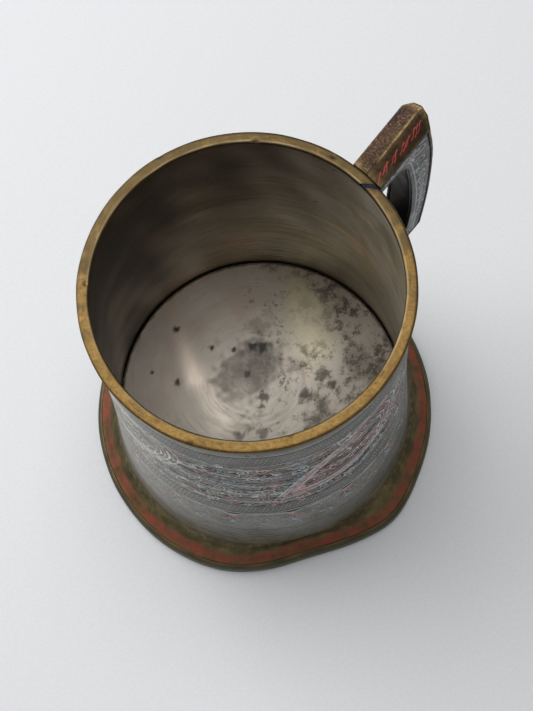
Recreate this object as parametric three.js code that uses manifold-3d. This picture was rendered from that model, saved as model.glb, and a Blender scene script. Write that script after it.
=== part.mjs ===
// A soldered brass tankard: a spun, flared wall with a ring round its mouth, a floor disc set above a
// hollow foot, an edge band under the flare, and a hollow handle of two flat cheeks closed by ridged
// outer strips and a plain inner strap. Millimetres, +Z up, handle towards +X, standing on z = 0.
import * as THREE from "three";
import { mergeVertices } from "three/addons/utils/BufferGeometryUtils.js";
import Module from "manifold-3d";

// Driving dimensions.
const HEIGHT = 127;
const RIM_RADIUS = 43.5;
const RIM_WIDTH = 3.3;
const RIM_HEIGHT = 1.6;
const WALL = 1.4; // sheet thickness
const NECK_RADIUS = 42.3; // outside of the wall, just under the rim
const ANKLE = { r: 50.5, z: 23 }; // where the slow taper turns into the foot's flare
const FLARE = { r: 58.5, z: 6.4 }; // upper outer edge of the flare
const TAPER_PULLS = [{ r: 44, z: 92 }, { r: 46.9, z: 52 }]; // handles of the curve above the ankle
const FLARE_PULLS = [{ r: 51.9, z: 14.5 }, { r: 54.2, z: 7.6 }]; // and of the one below it
const FOOT_RADIUS = 60.6;
const FOOT_RING_WIDTH = 3.4;
// The foot ring's rounded outer edge, from the straight part upwards.
const FOOT_CROWN = [{ inset: 0, z: 2 }, { inset: 0.2, z: 4.4 }, { inset: 0.8, z: 5.8 }];
const RIM_CHAMFER = { under: 0.6, outer: 0.5, inner: 0.7 };
const SCARF = { turn: -56.5, x: 42, y: -3.1, cut: 1.9, solder: 1.3 }; // the rim's slanted butt joint
const FLOOR_FILLET = 1.3;
const FLOOR_TOP = 22.9;
const FLOOR_THICKNESS = 1.6;
const GAP = 0.3; // every soldered or butted joint
const SEGMENTS = 72; // round the axis
const AXIS_OFFSET = -4.2; // puts the middle of foot and handle together over the origin

// The blow that flattened the foot: a shallow chord with a bulge at its sharper corner.
const DENT = { azimuth: -117.3, width: 21.4, depth: 4.3, bottom: 6.5, top: 21 };
const BULGE = { azimuth: -85.3, width: 11, height: 1.4 };

// The handle in its own upright plane: x away from the mug's axis, y up.
const HANDLE_WIDTH = 10;
const CHEEK = 1.2; // plate thickness
const STRAP = 1.2;
const SPINE_EDGE = 0.9; // height of the spine's square edges
const RIDGE = 2.4; // height of the spine's ridge above those edges
const SHOULDER = { across: 2.6, share: 0.75 }; // where the slopes below the ridge bend
const RIDGE_AT_RIM = 0.2; // share of that height left where the spine runs into the rim
const ARM_START = new THREE.Vector2(RIM_RADIUS + GAP, 126.3);
const ARM_TIP = new THREE.Vector2(60.8, 135.3);
const GRIP = [new THREE.Vector2(64.4, 120), new THREE.Vector2(66.4, 103), new THREE.Vector2(67.3, 86)];
const HEEL = new THREE.Vector2(67, 68.6);
const ARM_END = new THREE.Vector2(48.6, 57.4);
const OPENING_START = new THREE.Vector2(43.9, 121.3);
const OPENING_CORNER = [new THREE.Vector2(49.4, 124), new THREE.Vector2(53.8, 125.8)]; // then OPENING_TOP
const OPENING_TOP = new THREE.Vector2(55.2, 119);
const OPENING_GRIP = [new THREE.Vector2(58.2, 105), new THREE.Vector2(60.1, 90)];
const OPENING_FOOT = new THREE.Vector2(60.4, 77);
const OPENING_HEEL = [new THREE.Vector2(60.4, 72.4), new THREE.Vector2(56.8, 70.3)];
const OPENING_END = new THREE.Vector2(48.6, 65.6);
const PAD = { width: 11.6, thickness: 0.8, upper: [121.2, 124.9], lower: [57.2, 66.2] };

const brass = (color, roughness) => new THREE.MeshStandardMaterial({ color, roughness, metalness: 1 });
const MATERIALS = {
  rim: brass(0xa8813c, 0.35),
  wall: brass(0x8f8d8a, 0.5),
  foot: brass(0x4d4226, 0.5),
  floor: brass(0xb3aa9c, 0.4),
  solder: brass(0x33363a, 0.7),
  cheek: brass(0x85878a, 0.45),
  spine: brass(0x5d4631, 0.55),
};

const wasm = await Module();
wasm.setup();

// Closed three.js geometry to a manifold-3d solid, and back.
function toSolid(geometry) {
  const bare = geometry.clone();
  for (const name of ["normal", "uv"]) bare.deleteAttribute(name);
  const merged = mergeVertices(bare, 1e-4);
  return new wasm.Manifold(
    new wasm.Mesh({
      numProp: 3,
      vertProperties: merged.attributes.position.array,
      triVerts: new Uint32Array(merged.index.array),
    }),
  );
}

function toGeometry(solid) {
  const mesh = solid.getMesh();
  const geometry = new THREE.BufferGeometry();
  geometry.setAttribute("position", new THREE.BufferAttribute(mesh.vertProperties, 3));
  geometry.setIndex(new THREE.BufferAttribute(mesh.triVerts, 1));
  geometry.computeVertexNormals();
  return geometry;
}

// A ring turned about +Z from a closed outline of (radius, height) points, listed counter-clockwise.
function turned(outline) {
  const closed = [...outline, outline[0]].map(([r, z]) => new THREE.Vector2(r, z));
  return new THREE.LatheGeometry(closed, SEGMENTS).rotateX(Math.PI / 2);
}

// Moves the vertices of a foot piece in or out as the blow did, fading to nothing at the ankle.
function dented(geometry) {
  const bell = (azimuth, blow) => Math.exp(-(((azimuth - blow.azimuth) / blow.width) ** 2));
  const position = geometry.attributes.position;
  for (let i = 0; i < position.count; i++) {
    const x = position.getX(i);
    const y = position.getY(i);
    const azimuth = THREE.MathUtils.radToDeg(Math.atan2(y, x));
    const fade = 1 - THREE.MathUtils.smoothstep(position.getZ(i), DENT.bottom, DENT.top);
    const push = BULGE.height * bell(azimuth, BULGE) - DENT.depth * bell(azimuth, DENT);
    const scale = 1 + (push * fade) / Math.hypot(x, y);
    position.setXY(i, x * scale, y * scale);
  }
  geometry.computeVertexNormals();
  return geometry;
}

// The wall's outside from neck to flare, as two smooth curves of (radius, height).
const WALL_TOP = HEIGHT - RIM_HEIGHT - GAP;
const profilePoints = [{ r: NECK_RADIUS, z: WALL_TOP }, ...TAPER_PULLS, ANKLE, ...FLARE_PULLS, FLARE].map(
  ({ r, z }) => new THREE.Vector2(r, z),
);
const halves = [profilePoints.slice(0, 4), profilePoints.slice(3)];
const wallCurves = halves.map((points) => new THREE.CubicBezierCurve(...points));

// Radius of the wall's outside at a height above the ankle.
function wallRadius(z) {
  let low = 0;
  let high = 1;
  for (let i = 0; i < 30; i++) {
    const middle = (low + high) / 2;
    if (wallCurves[0].getPoint(middle).y > z) low = middle;
    else high = middle;
  }
  return wallCurves[0].getPoint(low).x;
}

function bodyWall() {
  const steps = [8, 9];
  const outside = [];
  const inside = [];
  wallCurves.forEach((curve, part) => {
    for (let i = part; i <= steps[part]; i++) {
      const t = i / steps[part];
      const { x: r, y: z } = curve.getPoint(t);
      const along = curve.getTangent(t);
      outside.push([r, z]);
      inside.push([r + WALL * along.y, z - WALL * along.x]);
    }
  });
  inside[0][1] = WALL_TOP; // a flat edge for the rim to sit on
  return dented(turned([...outside.reverse(), ...inside]));
}

function rimBar() {
  const outer = RIM_RADIUS;
  const inner = RIM_RADIUS - RIM_WIDTH;
  const bottom = HEIGHT - RIM_HEIGHT;
  return turned([
    [inner, bottom],
    [outer - RIM_CHAMFER.under, bottom],
    [outer, bottom + RIM_CHAMFER.under],
    [outer, HEIGHT - RIM_CHAMFER.outer],
    [outer - RIM_CHAMFER.outer, HEIGHT],
    [inner + RIM_CHAMFER.inner, HEIGHT],
    [inner, HEIGHT - RIM_CHAMFER.inner],
  ]);
}

// A block across the rim along its slanted butt joint, beside the handle.
function scarf(width) {
  const block = new THREE.BoxGeometry(12, width, 4 * RIM_HEIGHT);
  block.rotateZ(THREE.MathUtils.degToRad(SCARF.turn));
  return toSolid(block.translate(SCARF.x, SCARF.y, HEIGHT));
}

function footRing() {
  const inner = FOOT_RADIUS - FOOT_RING_WIDTH;
  const seat = FLARE.r + GAP;
  const ledge = FLARE.z - WALL - GAP;
  return dented(
    turned([
      [inner, 0],
      [FOOT_RADIUS, 0],
      ...FOOT_CROWN.map(({ inset, z }) => [FOOT_RADIUS - inset, z]),
      [seat + 0.3, FLARE.z + 0.1],
      [seat, FLARE.z - 0.2],
      [seat, ledge],
      [inner, ledge],
    ]),
  );
}

const FLOOR_RADIUS = wallRadius(FLOOR_TOP + 2) - WALL - GAP;

function floorDisc() {
  const bottom = FLOOR_TOP - FLOOR_THICKNESS;
  return new THREE.LatheGeometry(
    [
      [0, bottom],
      [FLOOR_RADIUS, bottom],
      [FLOOR_RADIUS, FLOOR_TOP],
      [0, FLOOR_TOP],
    ].map(([r, z]) => new THREE.Vector2(r, z)),
    SEGMENTS,
  ).rotateX(Math.PI / 2);
}

function floorSolder() {
  const low = FLOOR_TOP + GAP;
  return turned([
    [FLOOR_RADIUS - 0.2 - FLOOR_FILLET, low],
    [FLOOR_RADIUS - 0.2, low],
    [FLOOR_RADIUS - 0.3, low + FLOOR_FILLET],
  ]);
}

// Points of an open line, each with the outward direction that keeps an offset line parallel on both
// sides. Outward is to the left of the way the line runs. The two ends are cut upright.
function mitred(points) {
  const left = points.slice(1).map((p, i) => {
    const along = p.clone().sub(points[i]).normalize();
    return new THREE.Vector2(-along.y, along.x);
  });
  return points.map((at, i) => {
    const before = left[Math.max(i - 1, 0)];
    const after = left[Math.min(i, left.length - 1)];
    const isEnd = i === 0 || i === points.length - 1;
    const out = isEnd
      ? new THREE.Vector2(0, 1 / before.y)
      : before.clone().add(after).divideScalar(1 + before.dot(after));
    return { at, out, ridge: 1 };
  });
}

const offset = (stations, distance) =>
  stations.map(({ at, out }) => at.clone().addScaledVector(out, distance));

// Sweeps a section of (across, outward) points through stations in the handle's plane.
function swept(section, stations) {
  const steps = stations.length - 1;
  const shape = new THREE.Shape(section);
  const bar = new THREE.ExtrudeGeometry(shape, { depth: steps, steps, bevelEnabled: false });
  const position = bar.attributes.position;
  for (let i = 0; i < position.count; i++) {
    const { at, out, ridge } = stations[Math.round(position.getZ(i))];
    const outward = position.getY(i);
    const height = outward > 0 ? outward * ridge : outward;
    position.setXYZ(i, at.x + out.x * height, position.getX(i), at.y + out.y * height);
  }
  bar.computeVertexNormals();
  return bar;
}

const grip = new THREE.SplineCurve([ARM_TIP, ...GRIP, HEEL]).getPoints(10);
const outerLine = mitred([ARM_START, ...grip, ARM_END]);
outerLine[0].ridge = RIDGE_AT_RIM;

const openingCorner = new THREE.QuadraticBezierCurve(...OPENING_CORNER, OPENING_TOP);
const openingGrip = new THREE.SplineCurve([OPENING_TOP, ...OPENING_GRIP, OPENING_FOOT]);
const openingHeel = new THREE.QuadraticBezierCurve(OPENING_FOOT, ...OPENING_HEEL);
const innerLine = mitred([
  OPENING_START,
  ...openingCorner.getPoints(5),
  ...openingGrip.getPoints(5).slice(1),
  ...openingHeel.getPoints(4).slice(1),
  OPENING_END,
]);

// The stretch of the outer line from one station to another, with the joint gap taken off its corners.
function spineStretch(first, last) {
  const stretch = outerLine.slice(first, last + 1).map((station) => ({ ...station, at: station.at.clone() }));
  const trim = (station, towards) =>
    station.at.addScaledVector(towards.at.clone().sub(station.at).normalize(), GAP / 2 + 0.05);
  if (first > 0) trim(stretch[0], stretch[1]);
  if (last < outerLine.length - 1) trim(stretch.at(-1), stretch.at(-2));
  return stretch;
}

function spine(first, last) {
  const half = HANDLE_WIDTH / 2;
  const section = [
    [-half, -SPINE_EDGE],
    [half, -SPINE_EDGE],
    [half, 0],
    [SHOULDER.across, SHOULDER.share * RIDGE],
    [0, RIDGE],
    [-SHOULDER.across, SHOULDER.share * RIDGE],
    [-half, 0],
  ].map(([across, outward]) => new THREE.Vector2(across, outward));
  return swept(section, spineStretch(first, last));
}

function innerStrap() {
  const half = HANDLE_WIDTH / 2 - CHEEK - GAP;
  const section = [
    [-half, 0],
    [half, 0],
    [half, STRAP],
    [-half, STRAP],
  ].map(([across, outward]) => new THREE.Vector2(across, outward));
  return swept(section, innerLine);
}

// A cheek's outer face lies half the handle's width to one side: -1 is the right cheek, 1 the left.
function cheek(side) {
  const outline = [...offset(outerLine, -SPINE_EDGE - GAP), ...offset(innerLine, 0).reverse()];
  const plate = new THREE.ExtrudeGeometry(new THREE.Shape(outline), { depth: CHEEK, bevelEnabled: false });
  plate.rotateX(Math.PI / 2); // the outline stands up and the plate's thickness runs towards -Y
  const outerFace = (side * HANDLE_WIDTH) / 2;
  return plate.translate(0, side < 0 ? outerFace + CHEEK : outerFace, 0);
}

// A pad of solder that follows the wall between two heights, at the handle's foot or shoulder.
function solderPad([low, high]) {
  const near = (z) => wallRadius(z) + GAP;
  const shell = turned([
    [near(low), low],
    [near(low) + PAD.thickness, low],
    [near(high) + PAD.thickness, high],
    [near(high), high],
  ]);
  const window = new THREE.BoxGeometry(40, PAD.width, high - low + 10);
  window.translate(near(low), 0, (low + high) / 2);
  return toGeometry(toSolid(shell).intersect(toSolid(window)));
}

const mug = new THREE.Group();
mug.position.x = AXIS_OFFSET;

function add(name, geometry, material) {
  const mesh = new THREE.Mesh(geometry, material);
  mesh.name = name;
  mug.add(mesh);
}

const tip = 1;
const heel = outerLine.length - 2;
const rim = toSolid(rimBar());
add("body_wall", bodyWall(), MATERIALS.wall);
add("rim_ring", toGeometry(rim.subtract(scarf(SCARF.cut))), MATERIALS.rim);
add("rim_joint_solder", toGeometry(rim.intersect(scarf(SCARF.solder))), MATERIALS.solder);
add("floor_disc", floorDisc(), MATERIALS.floor);
add("floor_solder", floorSolder(), MATERIALS.solder);
add("foot_ring", footRing(), MATERIALS.foot);
add("handle_cheek_right", cheek(-1), MATERIALS.cheek);
add("handle_cheek_left", cheek(1), MATERIALS.cheek);
add("handle_spine_top", spine(0, tip), MATERIALS.spine);
add("handle_spine_back", spine(tip, heel), MATERIALS.spine);
add("handle_spine_bottom", spine(heel, heel + 1), MATERIALS.spine);
add("handle_inner_strap", innerStrap(), MATERIALS.cheek);
add("handle_upper_solder", solderPad(PAD.upper), MATERIALS.solder);
add("handle_lower_solder", solderPad(PAD.lower), MATERIALS.solder);

const part = new THREE.Group();
part.add(mug);
export default part;
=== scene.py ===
# A worn, engraved brass tankard with a tinned body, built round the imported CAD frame.
# Lengths are millimetres from the mug's axis until a mesh is made, which is in metres in the frame.
import math

import bpy
import numpy as np
from mathutils import Matrix, Vector
from mathutils.kdtree import KDTree


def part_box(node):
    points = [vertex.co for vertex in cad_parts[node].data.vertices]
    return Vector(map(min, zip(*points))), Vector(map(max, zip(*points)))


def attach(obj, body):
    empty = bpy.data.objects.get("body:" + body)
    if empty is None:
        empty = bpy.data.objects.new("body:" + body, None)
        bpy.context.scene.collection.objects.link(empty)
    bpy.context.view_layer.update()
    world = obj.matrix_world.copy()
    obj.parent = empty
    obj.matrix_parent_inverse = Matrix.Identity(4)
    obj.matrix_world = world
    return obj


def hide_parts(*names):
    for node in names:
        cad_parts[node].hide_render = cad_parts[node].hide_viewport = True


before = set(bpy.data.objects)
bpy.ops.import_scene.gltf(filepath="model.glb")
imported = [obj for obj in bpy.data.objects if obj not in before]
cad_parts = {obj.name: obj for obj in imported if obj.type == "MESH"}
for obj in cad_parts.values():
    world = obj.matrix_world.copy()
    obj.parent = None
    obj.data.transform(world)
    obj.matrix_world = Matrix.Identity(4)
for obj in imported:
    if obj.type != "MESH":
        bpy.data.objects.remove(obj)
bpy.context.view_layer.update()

# ---------------------------------------------------------------- sizes

MM = 0.001


def span(node):
    """Lowest and highest corner of a CAD node, in millimetres."""
    return [np.array(corner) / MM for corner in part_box(node)]


rim_low, rim_high = span("rim_ring")
wall_high = span("body_wall")[1]
foot_high = span("foot_ring")[1]
floor_low, floor_high = span("floor_disc")
spine_low, spine_high = span("handle_spine_top")

AXIS_X = (floor_low[0] + floor_high[0]) / 2
HEIGHT = rim_high[2]
RIM_RADIUS = rim_high[1]
RIM_WIDTH = 3.3
RIM_BOTTOM = rim_low[2]
WALL_TOP = wall_high[2]
WALL = 1.4
NECK_RADIUS = RIM_RADIUS - 1.2
ANKLE = (50.5, 23.0)
FLARE = (58.5, 6.4)
FOOT_RADIUS = foot_high[1]
FOOT_RING_WIDTH = 3.4
FLOOR_RADIUS = floor_high[1]
FLOOR_TOP = floor_high[2]
FLOOR_BOTTOM = floor_low[2]
GAP = 0.3
DENT = {"azimuth": -117.3, "width": 21.4, "depth": 4.3, "bottom": 6.5, "top": 21.0}
BULGE = {"azimuth": -85.3, "width": 11.0, "height": 1.4}

HANDLE_WIDTH = spine_high[1] - spine_low[1]
CHEEK = 1.2
STRAP = 1.2
SPINE_EDGE = 0.9
RIDGE = 2.4
SHOULDER = (2.6, 0.75)
RIDGE_AT_RIM = 0.2
ARM_START = (RIM_RADIUS + 0.05, 126.3)
ARM_TIP = (60.8, 135.3)
GRIP = [(64.4, 120), (66.4, 103), (67.3, 86)]
HEEL = (67, 68.6)
ARM_END = (48.6, 57.4)
OPENING_START = (43.9, 121.3)
OPENING_CORNER = [(49.4, 124), (53.8, 125.8), (55.2, 119)]
OPENING_GRIP = [(55.2, 119), (58.2, 105), (60.1, 90), (60.4, 77)]
OPENING_HEEL = [(60.4, 77), (60.4, 72.4), (56.8, 70.3)]
OPENING_END = (48.6, 65.6)
UPPER_PAD = (121.2, 124.9)
LOWER_PAD = (57.2, 66.2)
PAD_WIDTH = 11.6
PAD_THICKNESS = 0.8

SPINE_CLEARANCE = 0.012  # share of its width by which a spine stays inside its CAD box

# Mean radii, which turn degrees into millimetres along the wall, the rim and the foot.
UNROLL_RADIUS = 46.0
RIM_UNROLL_RADIUS = 43.0
FOOT_UNROLL_RADIUS = 60.0

# How finely each mesh is cut.
WALL_COLUMNS = 720
WALL_ROWS = 310
INSIDE_ROWS = 96
RIM_STATIONS = 640
FOOT_COLUMNS = 540
FLOOR_COLUMNS = 400
FLOOR_ROWS = 190
UNDERSIDE_ROWS = 40
SEAM_COLUMNS = 480
ARM_STATIONS = 110
GRIP_STATIONS = 300
STRAP_STATIONS = 240
CHEEK_ROWS = 44
CHEEK_BACK_ROWS = 8
SHARP_ANGLE = 50  # edges turned by more than these degrees stay crisp

# ---------------------------------------------------------------- curves and outlines


def bezier(points, t):
    """Points of a Bezier curve of any order at the parameters t."""
    rows = [np.outer(np.ones_like(t), p) for p in np.array(points, float)]
    while len(rows) > 1:
        rows = [a + (b - a) * t[:, None] for a, b in zip(rows, rows[1:])]
    return rows[0]


def spline(points, count):
    """A Catmull-Rom curve through the points, its ends doubled."""
    p = np.array(points, float)
    t = np.linspace(0, len(p) - 1, count)
    i = np.minimum(t.astype(int), len(p) - 2)
    w = (t - i)[:, None]
    before, a, b, after = p[np.maximum(i - 1, 0)], p[i], p[i + 1], p[np.minimum(i + 2, len(p) - 1)]
    va, vb = (b - before) / 2, (after - a) / 2
    return (2 * a - 2 * b + va + vb) * w**3 + (-3 * a + 3 * b - 2 * va - vb) * w**2 + va * w + a


def distances(points):
    """Each point's distance along an open line from its start."""
    return np.concatenate([[0], np.cumsum(np.linalg.norm(np.diff(points, axis=0), axis=1))])


def sampled(values, along, at):
    """Values known at the distances along a line, read at the distances at."""
    return np.stack([np.interp(at, along, column) for column in np.transpose(values)], -1)


def spaced(points, count):
    """The same open line with its points at even distances."""
    points = np.array(points, float)
    along = distances(points)
    return sampled(points, along, np.linspace(0, along[-1], count))


def length_of(points):
    return np.linalg.norm(np.diff(points, axis=0), axis=1).sum()


def rounded(corners, radius, step=0.6):
    """A closed outline with its corners rounded and its straight runs cut into short steps."""
    corners = np.array(corners, float)
    t = np.linspace(0, 1, 5)
    out = []
    for before, at, after in zip(np.roll(corners, 1, 0), corners, np.roll(corners, -1, 0)):
        arms = []
        for other in (before, after):
            reach = min(radius, 0.4 * np.linalg.norm(other - at))
            arms.append(at + (other - at) / np.linalg.norm(other - at) * reach)
        out.append(bezier([arms[0], at, arms[1]], t))
    loop = []
    for arc, following in zip(out, out[1:] + out[:1]):
        loop.extend(arc)
        gap = following[0] - arc[-1]
        cuts = int(np.linalg.norm(gap) / step)
        loop.extend(arc[-1] + gap * k / (cuts + 1) for k in range(1, cuts + 1))
    return np.array(loop)


def ripple(x, y, size, seed):
    """Smooth unevenness between about -1 and 1, with features of the given size."""
    rng = np.random.default_rng(seed)
    total = np.zeros(np.broadcast(x, y).shape)
    for _ in range(7):
        turn = rng.uniform(0, 2 * math.pi)
        pitch = 2 * math.pi / (size * rng.uniform(0.7, 1.8))
        total += np.sin((x * math.cos(turn) + y * math.sin(turn)) * pitch + rng.uniform(0, 6.28))
    return total / 3.5


def smoothstep(x, low, high):
    t = np.clip((x - low) / (high - low), 0, 1)
    return t * t * (3 - 2 * t)


def bell(x, width):
    """1 at 0, fading smoothly on both sides over the width."""
    return np.exp(-((x / width) ** 2))


def turn_between(azimuth, other):
    """The turn in degrees from other to azimuth, between -180 and 180."""
    return (azimuth - other + 180) % 360 - 180


# ---------------------------------------------------------------- meshes


def grid_faces(rows, columns, wrap_rows=False, wrap_columns=False):
    i, j = np.meshgrid(
        np.arange(rows if wrap_rows else rows - 1),
        np.arange(columns if wrap_columns else columns - 1),
        indexing="ij",
    )
    i2, j2 = (i + 1) % rows, (j + 1) % columns
    corners = [i * columns + j, i2 * columns + j, i2 * columns + j2, i * columns + j2]
    return np.stack(corners, -1).reshape(-1, 4)


def fan(ring, centre):
    """Triangles from a closed ring of vertex numbers to one vertex."""
    ring = np.array(ring)
    return np.stack([ring, np.roll(ring, -1), np.full(len(ring), centre)], -1)


def volume(vertices, groups):
    total = 0.0
    for g in groups:
        a, b, c = vertices[g[:, 0]], vertices[g[:, 1]], vertices[g[:, 2]]
        total += np.einsum("ij,ij->i", a, np.cross(b, c)).sum()
        if g.shape[1] == 4:
            total += np.einsum("ij,ij->i", a, np.cross(c, vertices[g[:, 3]])).sum()
    return total


def tube(points):
    """Vertices and faces of a tube through rings of points, with a fan over each end."""
    rings, count = points.shape[:2]
    vertices = np.concatenate([points.reshape(-1, 3), [points[0].mean(0), points[-1].mean(0)]])
    first = np.arange(count)
    last = first + (rings - 1) * count
    caps = [fan(first, rings * count), fan(last, rings * count + 1)[:, ::-1]]
    return vertices, [grid_faces(rings, count, wrap_columns=True), *caps]


def piece(
    name, vertices, groups, materials, slot, stands_for, fields=None, inks=None, parts=None
):
    """One closed mesh on the frame: groups are arrays of faces, parts gives each its material."""
    vertices = np.asarray(vertices, float).reshape(-1, 3)
    if volume(vertices, groups) < 0:
        groups = [g[:, ::-1] for g in groups]
    mesh = bpy.data.meshes.new(name)
    mesh.vertices.add(len(vertices))
    placed = (vertices + [AXIS_X, 0, 0]) * MM
    mesh.vertices.foreach_set("co", placed.astype(np.float32).ravel())
    corners = np.concatenate([g.ravel() for g in groups])
    sizes = np.concatenate([np.full(len(g), g.shape[1]) for g in groups])
    mesh.loops.add(len(corners))
    mesh.loops.foreach_set("vertex_index", corners.astype(np.int32))
    mesh.polygons.add(len(sizes))
    starts = np.concatenate([[0], np.cumsum(sizes)[:-1]])
    mesh.polygons.foreach_set("loop_start", starts.astype(np.int32))
    parts = parts or [0] * len(groups)
    numbers = np.concatenate([np.full(len(g), part) for g, part in zip(groups, parts)])
    mesh.update(calc_edges=True)
    for material in materials:
        mesh.materials.append(material)
    mesh.polygons.foreach_set("material_index", numbers.astype(np.int32))
    mesh.polygons.foreach_set("use_smooth", np.ones(len(sizes), bool))
    mesh.set_sharp_from_angle(angle=math.radians(SHARP_ANGLE))
    for given, kind, key in ((fields, "FLOAT", "value"), (inks, "FLOAT_COLOR", "color")):
        for label, values in (given or {}).items():
            layer = mesh.attributes.new(label, kind, "POINT")
            layer.data.foreach_set(key, np.asarray(values, np.float32).ravel())
    made = bpy.data.objects.new(name, mesh)
    bpy.context.scene.collection.objects.link(made)
    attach(made, "root")
    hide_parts(*stands_for)
    return made


def around(radius, height, azimuth):
    """Points at radius and height, turned about the axis by azimuth in degrees."""
    a = np.radians(azimuth)
    return np.stack(np.broadcast_arrays(radius * np.cos(a), radius * np.sin(a), height), -1)


def dented(points):
    """Moves points in or out as the blow on the foot did."""
    x, y, z = points[..., 0], points[..., 1], points[..., 2]
    azimuth = np.degrees(np.arctan2(y, x))
    fade = 1 - smoothstep(z, DENT["bottom"], DENT["top"])
    push = BULGE["height"] * bell(azimuth - BULGE["azimuth"], BULGE["width"])
    push -= DENT["depth"] * bell(azimuth - DENT["azimuth"], DENT["width"])
    scale = 1 + push * fade / np.hypot(x, y)
    return np.stack([x * scale, y * scale, z], -1)


# ---------------------------------------------------------------- drawing on unrolled surfaces

WHITE = (0.70, 0.70, 0.66)
BLUE = (0.38, 0.44, 0.50)
PINK = (0.66, 0.43, 0.41)
ROSE = (0.48, 0.27, 0.26)
CREAM = (0.84, 0.80, 0.64)
ROPE_INK = (0.54, 0.54, 0.50)
SILVER = (0.34, 0.34, 0.335)
SPRIG_FILL = (0.46, 0.47, 0.48)
BLACK = (0.02, 0.02, 0.025)
RED = (0.44, 0.038, 0.042)
STIPPLE_RED = (0.17, 0.055, 0.05)
STIPPLE_DARK = (0.03, 0.018, 0.015)
SLASHES = (1, 2, 2, 3, 3, 1, 2, 2)  # how many red slashes stand together on a spine


class Drawing:
    """Engraved lines and coloured fields on a flat drawing, in millimetres."""

    STEP = 0.2

    def __init__(self):
        self.samples, self.half_widths, self.inks, self.fields = [], [], [], []

    def line(self, points, width, ink):
        points = np.array(points, float)
        count = max(2, int(length_of(points) / self.STEP) + 1)
        dense = spaced(points, count)
        self.samples.append(dense)
        self.half_widths.append(np.full(count, width / 2))
        self.inks.append(np.tile(ink, (count, 1)))

    def dot(self, at, width, ink):
        self.samples.append(np.array([at], float))
        self.half_widths.append(np.array([width / 2]))
        self.inks.append(np.array([ink], float))

    def field(self, outline, ink):
        self.fields.append((np.array(outline, float), ink))

    def outline(self, points, width, ink, fill=None):
        """A line round a closed shape, with a colour inside it if one is given."""
        if fill:
            self.field(points, fill)
        self.line(np.concatenate([points, points[:1]]), width, ink)

    def on(self, points, period=None):
        """Distance to the nearest line's edge, its ink, and the field's colour and cover."""
        lists = (self.samples, self.half_widths, self.inks)
        samples, half, inks = (np.concatenate(part) for part in lists)
        if period:
            # What lies near one end of the drawing is repeated beyond its other end.
            low, high = points[:, 0].min() + 3, points[:, 0].max() - 3
            left, right = samples[:, 0] < low, samples[:, 0] > high
            beyond = (samples[left] + [period, 0], samples[right] - [period, 0])
            samples = np.concatenate([samples, *beyond])
            half = np.concatenate([half, half[left], half[right]])
            inks = np.concatenate([inks, inks[left], inks[right]])
        tree = KDTree(len(samples))
        for number, (x, y) in enumerate(samples):
            tree.insert((x, y, 0), number)
        tree.balance()
        found = [tree.find((x, y, 0)) for x, y in points]
        nearest = np.array([number for _, number, _ in found])
        distance = np.array([d for _, _, d in found]) - half[nearest]
        colour = np.concatenate([inks[nearest], np.ones((len(points), 1))], 1)
        cover = np.zeros((len(points), 4))
        for outline, ink in self.fields:
            for shift in (-period, 0, period) if period else (0,):
                inside(points, outline + [shift, 0], cover, ink)
        return distance, colour, cover


def inside(points, outline, cover, ink):
    """Gives the points inside a closed outline the ink as their cover."""
    low, high = outline.min(0), outline.max(0)
    near = np.nonzero(((points >= low) & (points <= high)).all(1))[0]
    if not len(near):
        return
    x, y = points[near, 0][:, None], points[near, 1][:, None]
    a, b = outline, np.roll(outline, -1, 0)
    crosses = (a[:, 1] > y) != (b[:, 1] > y)
    rise = np.where(b[:, 1] == a[:, 1], 1e-9, b[:, 1] - a[:, 1])
    hit = crosses & (x < a[:, 0] + (y - a[:, 1]) * (b[:, 0] - a[:, 0]) / rise)
    cover[near[hit.sum(1) % 2 == 1]] = (*ink, 1)


def spiral(centre, size, start, turns, hand):
    t = np.linspace(0, 1, 40)
    radius = size * (1 - 0.88 * t)
    angle = math.radians(start) + hand * 2 * math.pi * turns * t
    return np.stack([centre[0] + radius * np.cos(angle), centre[1] + radius * np.sin(angle)], -1)


def leaf(base, length, width, direction, bend=0.0):
    """A closed pointed leaf from its base along a direction in degrees."""
    t = np.linspace(0, 1, 9)
    middle = bend * np.sin(math.pi * t)
    half = width / 2 * np.sin(math.pi * t**0.8)
    side = np.concatenate([middle + half, (middle - half)[::-1][1:-1]])
    along = np.concatenate([t, t[::-1][1:-1]]) * length
    c, s = math.cos(math.radians(direction)), math.sin(math.radians(direction))
    return np.stack([base[0] + along * c - side * s, base[1] + along * s + side * c], -1)


def dimmed(ink, share):
    return tuple(share * c for c in ink)


def paisley(scale):
    """A leaning drop with its head up and to the right, about its own middle, y down."""
    t = np.linspace(0, 2 * math.pi, 72, endpoint=False)
    along = np.cos(t) * 23.0 * scale
    across = np.sin(t) * np.sin(t / 2) * 15.0 * scale
    tail = ((along / (23.0 * scale) + 1) / 2) ** 2
    across = across - 3.6 * scale * tail
    lean = math.radians(150)
    x = along * math.cos(lean) - across * math.sin(lean)
    y = along * math.sin(lean) + across * math.cos(lean)
    return np.stack([x, y], -1)


# Heights on the wall are measured down its outside from the top edge, as the engraver's bands lie.
ROPE_BANDS = [(9.5, 16.2), (61.0, 68.4)]
PAISLEY_BAND = (17.6, 60.0)
PAISLEY_COUNT = 4
PAISLEY_AT = (-101.0, 38.0)
PALE_PAISLEY = 3
FLORET_BAND = (70.0, 90.5)
FLORET_COUNT = 16
DOT_ROW = 111.0
DOT_COUNT = 100
OLIVE_FADE = (92, 114)
RED_FADE_IN = (116.6, 118.6)
RED_FADE_OUT = (121.4, 123.2)


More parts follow.
